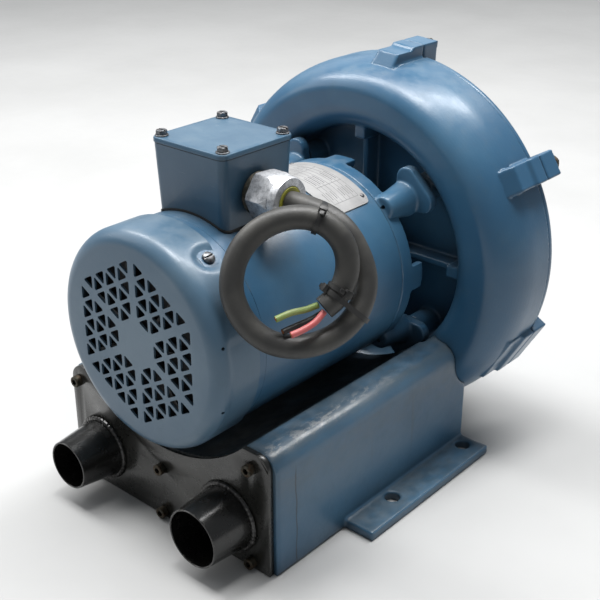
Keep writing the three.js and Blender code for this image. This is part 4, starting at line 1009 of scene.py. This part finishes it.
# ---------------- stand
def stand_outline(left, right, corner, bottom):
    """The front view of the stand: two ducts with the trough for the motor between them."""
    reach = math.sqrt(TROUGH_R ** 2 - (TROUGH_Z - DUCT_TOP) ** 2)
    start = math.degrees(math.atan2(DUCT_TOP - TROUGH_Z, reach))
    outline = [(left, bottom), (right, bottom)]
    outline += arc(right - corner, DUCT_TOP - corner, corner, corner, 0, 90, 14)
    outline += arc(0, TROUGH_Z, TROUGH_R, TROUGH_R, start, -180 - start, 48)
    return outline + arc(left + corner, DUCT_TOP - corner, corner, corner, 90, 180, 14)


def duct_outline(side, outer):
    wall, inner = 7.0, 15.0
    crown = DUCT_TOP - wall
    points = [(inner, wall), (outer, wall), (outer, crown - 12), (outer - 12, crown), (94, crown)]
    for height in (96, 88, 81, 76):
        points.append((math.sqrt((TROUGH_R + wall) ** 2 - (TROUGH_Z - height) ** 2), height))
    return [(side * x, z) for x, z in points + [(inner, 60)]]


def manifold_base():
    parts = [prism(stand_outline(BASE_LEFT, BASE_RIGHT, 17, 0), BASE_FRONT_Y, BASE_BACK_Y, "y")]
    cuts = []
    for side, flank in ((-1, BASE_LEFT), (1, BASE_RIGHT)):
        x0, x1 = sorted((flank - side * 3, side * FOOT_X))
        parts.append(block(x0, x1, FOOT_FRONT_Y, BASE_BACK_Y, 0, FOOT_TOP))
        cuts.append(prism(duct_outline(side, abs(flank) - 7), BASE_FRONT_Y - 2, BASE_BACK_Y - 8, "y"))
        for y in (-FOOT_HOLE_Y, FOOT_HOLE_Y):
            cuts.append(cylinder(FOOT_HOLE_R, -5, 25, (side * FOOT_HOLE_X, y), "z", 40))
    envelope = [(2.0, MOUTH_Y)] + [(r + 0.5, y - 0.5) for r, y in ring_front()]
    envelope += [(RIM_R + 0.5, 200), (2.0, 200)]
    cuts.append(lathe(envelope, ROUND))
    cuts.append(cylinder(EAR_REACH + 2, EAR_FRONT_Y - 8, BASE_BACK_Y + 5, sides=96))
    body = cast(parts, CAST_VOXEL, 2, cuts)
    piece(body, "base_casting", BLUE_BASE, replaces=["manifold_base"], sharp=60)


def end_plate():
    outline = stand_outline(PLATE_LEFT, PLATE_RIGHT, 14, 0.4)
    body = prism(outline, PLATE_FRONT_Y, BASE_FRONT_Y - GAP, "y")
    holes = [cylinder(24, -205, -180, (TUBE_X, TUBE_Z)), cylinder(20, -205, -180, (-TUBE_X, TUBE_Z))]
    holes += [cylinder(3.4, -205, -180, place) for place in PLATE_SCREWS]
    cut(body, *holes)
    bevel(body, 0.7, limit_method="ANGLE", angle_limit=math.radians(50))
    piece(body, "front_plate", BLACK_PLATE, replaces=["end_plate"])


def plate_screws():
    seat = PLATE_FRONT_Y - 0.2
    for number, centre in enumerate(PLATE_SCREWS, 1):
        node = f"plate_screw_{number}"
        head = lathe([(5.0, seat), (5.0, seat - 5.4), (4.4, seat - 6.0)], 36, centre, closed=False)
        cut(head, prism(hexagon(centre, 5.0, 12), seat - 8, seat - 2.8, "y"))
        piece(head, node + "_head", RUSTY, replaces=[node])


def air_tube(name, x, mouth, root, node):
    """A tube that widens from its mouth to its root, with a rippled weld bead round the root."""
    back, inner, ease = PLATE_FRONT_Y - GAP, mouth - 1.6, 0.4
    profile = [(inner, TUBE_MOUTH_Y + ease), (inner + ease, TUBE_MOUTH_Y), (mouth - ease, TUBE_MOUTH_Y),
               (mouth, TUBE_MOUTH_Y + ease), (root, back), (root - 3, back)]
    body = lathe(profile, 96, (x, TUBE_Z))
    piece(body, name, BLACK_TUBE, replaces=[node])
    points = []
    sections, section = 220, 10
    for i in range(sections):
        a = 2 * math.pi * i / sections
        ripple = 0.45 * math.sin(46 * a) + 0.3 * math.sin(17 * a + x) + 0.25 * math.sin(29 * a)
        for k in range(section):
            b = 2 * math.pi * k / section
            r = root + 0.9 + (2.3 + 0.35 * ripple) * math.cos(b)
            y = back - 0.6 + (2.2 + 0.4 * ripple) * min(math.sin(b), 0.25)
            points.append((x + r * math.cos(a), y, TUBE_Z + r * math.sin(a)))
    piece(as_object(points, wound(sections, section)), name + "_weld", WELD)


manifold_base()
end_plate()
plate_screws()
air_tube("small_tube", -TUBE_X, 21.8, 26.5, "inlet_tube")
air_tube("large_tube", TUBE_X, 25.5, 28.5, "outlet_tube")


# ---------------- junction box and gland
def box_outline(half, corner):
    """A square with rounded corners, round the junction box's axis."""
    outline = []
    for su, sv, start in ((1, -1, -90), (1, 1, 0), (-1, 1, 90), (-1, -1, 180)):
        u, v = su * (half - corner), BOX_Y + sv * (half - corner)
        outline += arc(u, v, corner, corner, start, start + 90, 10)
    return outline


def box_loop(half, corner, z):
    return [(a, b, z) for a, b in box_outline(half, corner)]


def junction_box():
    body = loft([box_loop(BOX_FOOT_HALF, 7, BOX_FOOT_Z), box_loop(BOX_HALF, 7, BOX_TOP)])
    cut(body, cylinder(SHELL_R + 2, -230, 30, sides=FINE_ROUND))
    cut(body, prism(box_outline(BOX_HALF - 4.3, 4), 273, BOX_TOP + 1, "z"))
    cut(body, cylinder(16, 30, 50, (GLAND_Y, GLAND_Z), "x"), cylinder(12, 240, 280, (0, BOX_Y), "z"))
    piece(body, "terminal_box", BLUE_BOX, replaces=["junction_box"])
    low, high, front, back = SHELL_R + GAP, SHELL_R + 1.8, -170, -60
    pad = lathe([(low, front), (high, front), (high, back), (low, back)], FINE_ROUND)
    edge = prism(box_outline(BOX_FOOT_HALF + 1.5, 7.5), 220, BOX_TOP, "z")
    boolean(pad, [edge], "INTERSECT")
    piece(pad, "box_foot_gasket", RUBBER, replaces=["box_gasket"])


def junction_box_lid():
    seal = prism(box_outline(BOX_HALF - 0.1, 7), BOX_TOP + 0.05, BOX_TOP + 0.65, "z")
    piece(seal, "lid_gasket", RUBBER)
    low, high, half = BOX_TOP + 0.7, LID_TOP, LID_HALF
    lid = loft([box_loop(half - 0.3, 7.2, low), box_loop(half, 7.5, low + 0.3),
                box_loop(half, 7.5, high - 1.3), box_loop(half - 0.4, 7.3, high - 0.4),
                box_loop(half - 1.3, 6.8, high)])
    cut(lid, *[cylinder(2.6, 310, 330, place, "z", 20) for place in LID_CORNERS])
    piece(lid, "terminal_box_lid", BLUE_BOX, replaces=["junction_box_lid"], sharp=25)
    ring = [(2.4, 321.5), (5.4, 321.5), (5.4, 322.3), (5.0, 322.7), (2.4, 322.7)]
    for index, place in enumerate(LID_CORNERS):
        (x, y), node = place, f"lid_screw_{index + 1}"
        head = hex_head(8, 3.6, place, "z", 322.7, turn=20 * index)
        cut(head, block(x - 6, x + 6, y - 0.75, y + 0.75, 325, 328))
        screw = joined([head, lathe(ring, 28, place, "z"), cylinder(2.1, 302, 323, place, "z", 12)])
        piece(screw, node + "_head", SCREW, replaces=[node])


def gland():
    centre = (GLAND_Y, GLAND_Z)
    threads = [(17 - 0.5 * (k % 2), 40.1 + 0.5 * k) for k in range(12)]
    profile = [(10.5, 34), (15.6, 34), (15.6, 39.8)] + threads + [(16, 46.4), (10.5, 46.4)]
    piece(lathe(profile, 64, centre, "x"), "gland_thread", LOCKNUT)
    hexagonal = prism(hexagon(centre, 37, 56), 46.2, 66.9, "x")
    rounding = lathe([(19.6, 46.1), (21.8, 47.6), (21.8, 59), (19.3, 67)], 64, centre, "x", closed=False)
    boolean(hexagonal, [rounding], "INTERSECT")
    cut(hexagonal, cylinder(10.5, 40, 70, centre, "x"))
    bevel(hexagonal, 0.35, limit_method="ANGLE")
    piece(hexagonal, "gland_hexagon", ZINC, replaces=["gland_body"])
    profile = [(12.5, 67.2), (19.2, 67.2), (19.6, 67.7), (19.4, 72.6), (18.7, 74.1), (17.9, 74.5),
               (12.9, 74.5), (12.5, 74.1)]
    piece(lathe(profile, 72, centre, "x"), "gland_dome", ZINC, replaces=["gland_nut"])
    sleeve = lathe([(9.2, 66), (12.3, 66), (12.3, 74.2), (11.7, 74.9), (9.2, 74.7)], 48, centre, "x")
    piece(sleeve, "gland_bushing", BUSHING)


junction_box()
junction_box_lid()
gland()


# ---------------- turned parts of the rotor and bearings
def rotor_parts():
    shaft = [(9, -206), (9, -188), (12.2, -188), (12.2, -158), (14, -158), (14, 24), (12.2, 24),
             (12.2, 97), (9.5, 98), (9.5, 119), (6, 119.5), (6, 133)]
    piece(lathe(shaft, 64, closed=False), "shaft", STEEL, "rotor", ["motor_shaft"])
    core = [(14.3, -122), (46, -127), (48, -124), (48, -16), (46, -13), (14.3, -18)]
    piece(lathe(core, 96), "rotor_laminations", LAMINATION, "rotor", ["rotor_core"])
    for end, y in (("drive", DRIVE_BEARING_Y), ("fan", FAN_BEARING_Y)):
        for part, inner, outer, body in (("outer", 23, 25.7, "frame"), ("inner", 12.5, 15, "rotor")):
            ring = [(inner, y - 7), (inner + 0.5, y - 7.5), (outer - 0.5, y - 7.5), (outer, y - 7),
                    (outer, y + 7), (outer - 0.5, y + 7.5), (inner + 0.5, y + 7.5), (inner, y + 7)]
            piece(lathe(ring, 72), f"{end}_race_{part}", STEEL, body, [f"{end}_bearing_{part}"])
        balls = [lathe([(18.2, y - 1.2), (19.8, y - 1.2), (19.8, y + 1.2), (18.2, y + 1.2)], 72)]
        for k in range(BALL_COUNT):
            ball = lathe(arc(0, y, BALL_R, BALL_R, -87, 87, 12), 20, (BALL_CIRCLE_R, AXIS_Z), closed=False)
            balls.append(around(ball, 360 / BALL_COUNT * k))
        piece(joined(balls), f"{end}_ball_set", STEEL, f"{end}_cage", [f"{end}_bearing_cage"])


rotor_parts()

# CAD meshes that stay as they are and only get a look
KEPT = {
    "cooling_fan": PLASTIC, "impeller": ALUMINIUM, "impeller_nut": STEEL, "shaft_seal": RUBBER,
    "stator_core": LAMINATION, "windings": COPPER, "terminal_block": PLASTIC,
    "inlet_silencer": FOAM, "outlet_silencer": FOAM,
}
for node_name, look in KEPT.items():
    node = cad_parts[node_name]
    if not node.material_slots:
        node.data.materials.append(look)
    for material_slot in node.material_slots:
        material_slot.material = look


# ---------------- floor and light
LIGHT_AIM = (0, 0, 0.15)       # metres


def floor():
    s = Shade("pale_floor")
    colour = s.mix(s.ramp(s.noise(3.0, 5.0), 0.3, 0.7), rgb(0.43, 0.43, 0.425), rgb(0.47, 0.47, 0.465))
    rough = s.plus(s.times(s.noise(40.0), 0.2), 0.45)
    look = s.finish(colour, rough, [(s.noise(200.0), 0.05)])
    half = 4000
    ground = block(-half, half, -half, half, -20, -0.05)
    ground.name = "floor"
    ground.data.materials.append(look)


def area_light(name, place, size, power, long_size=None):
    data = bpy.data.lights.new(name, "AREA")
    data.energy = power
    data.shape = "RECTANGLE"
    data.size = size
    data.size_y = long_size or size
    lamp = bpy.data.objects.new(name, data)
    lamp.location = place
    lamp.rotation_euler = (Vector(LIGHT_AIM) - Vector(place)).to_track_quat("-Z", "Y").to_euler()
    bpy.context.scene.collection.objects.link(lamp)


floor()
area_light("ceiling_strip_a", (-0.9, -0.1, 2.3), 0.45, 66, 2.6)
area_light("ceiling_strip_b", (0.15, 0.7, 2.4), 0.45, 78, 2.6)
area_light("bright_wall", (-1.6, 1.9, 1.4), 2.6, 7, 1.2)
area_light("soft_left", (-1.9, -1.1, 1.5), 1.6, 17)
world = bpy.data.worlds.new("room")
world.use_nodes = True
world.node_tree.nodes["Background"].inputs["Color"].default_value = rgb(0.9, 0.95, 1.0)
world.node_tree.nodes["Background"].inputs["Strength"].default_value = 0.26
bpy.context.scene.world = world
bpy.context.scene.view_settings.view_transform = "Standard"
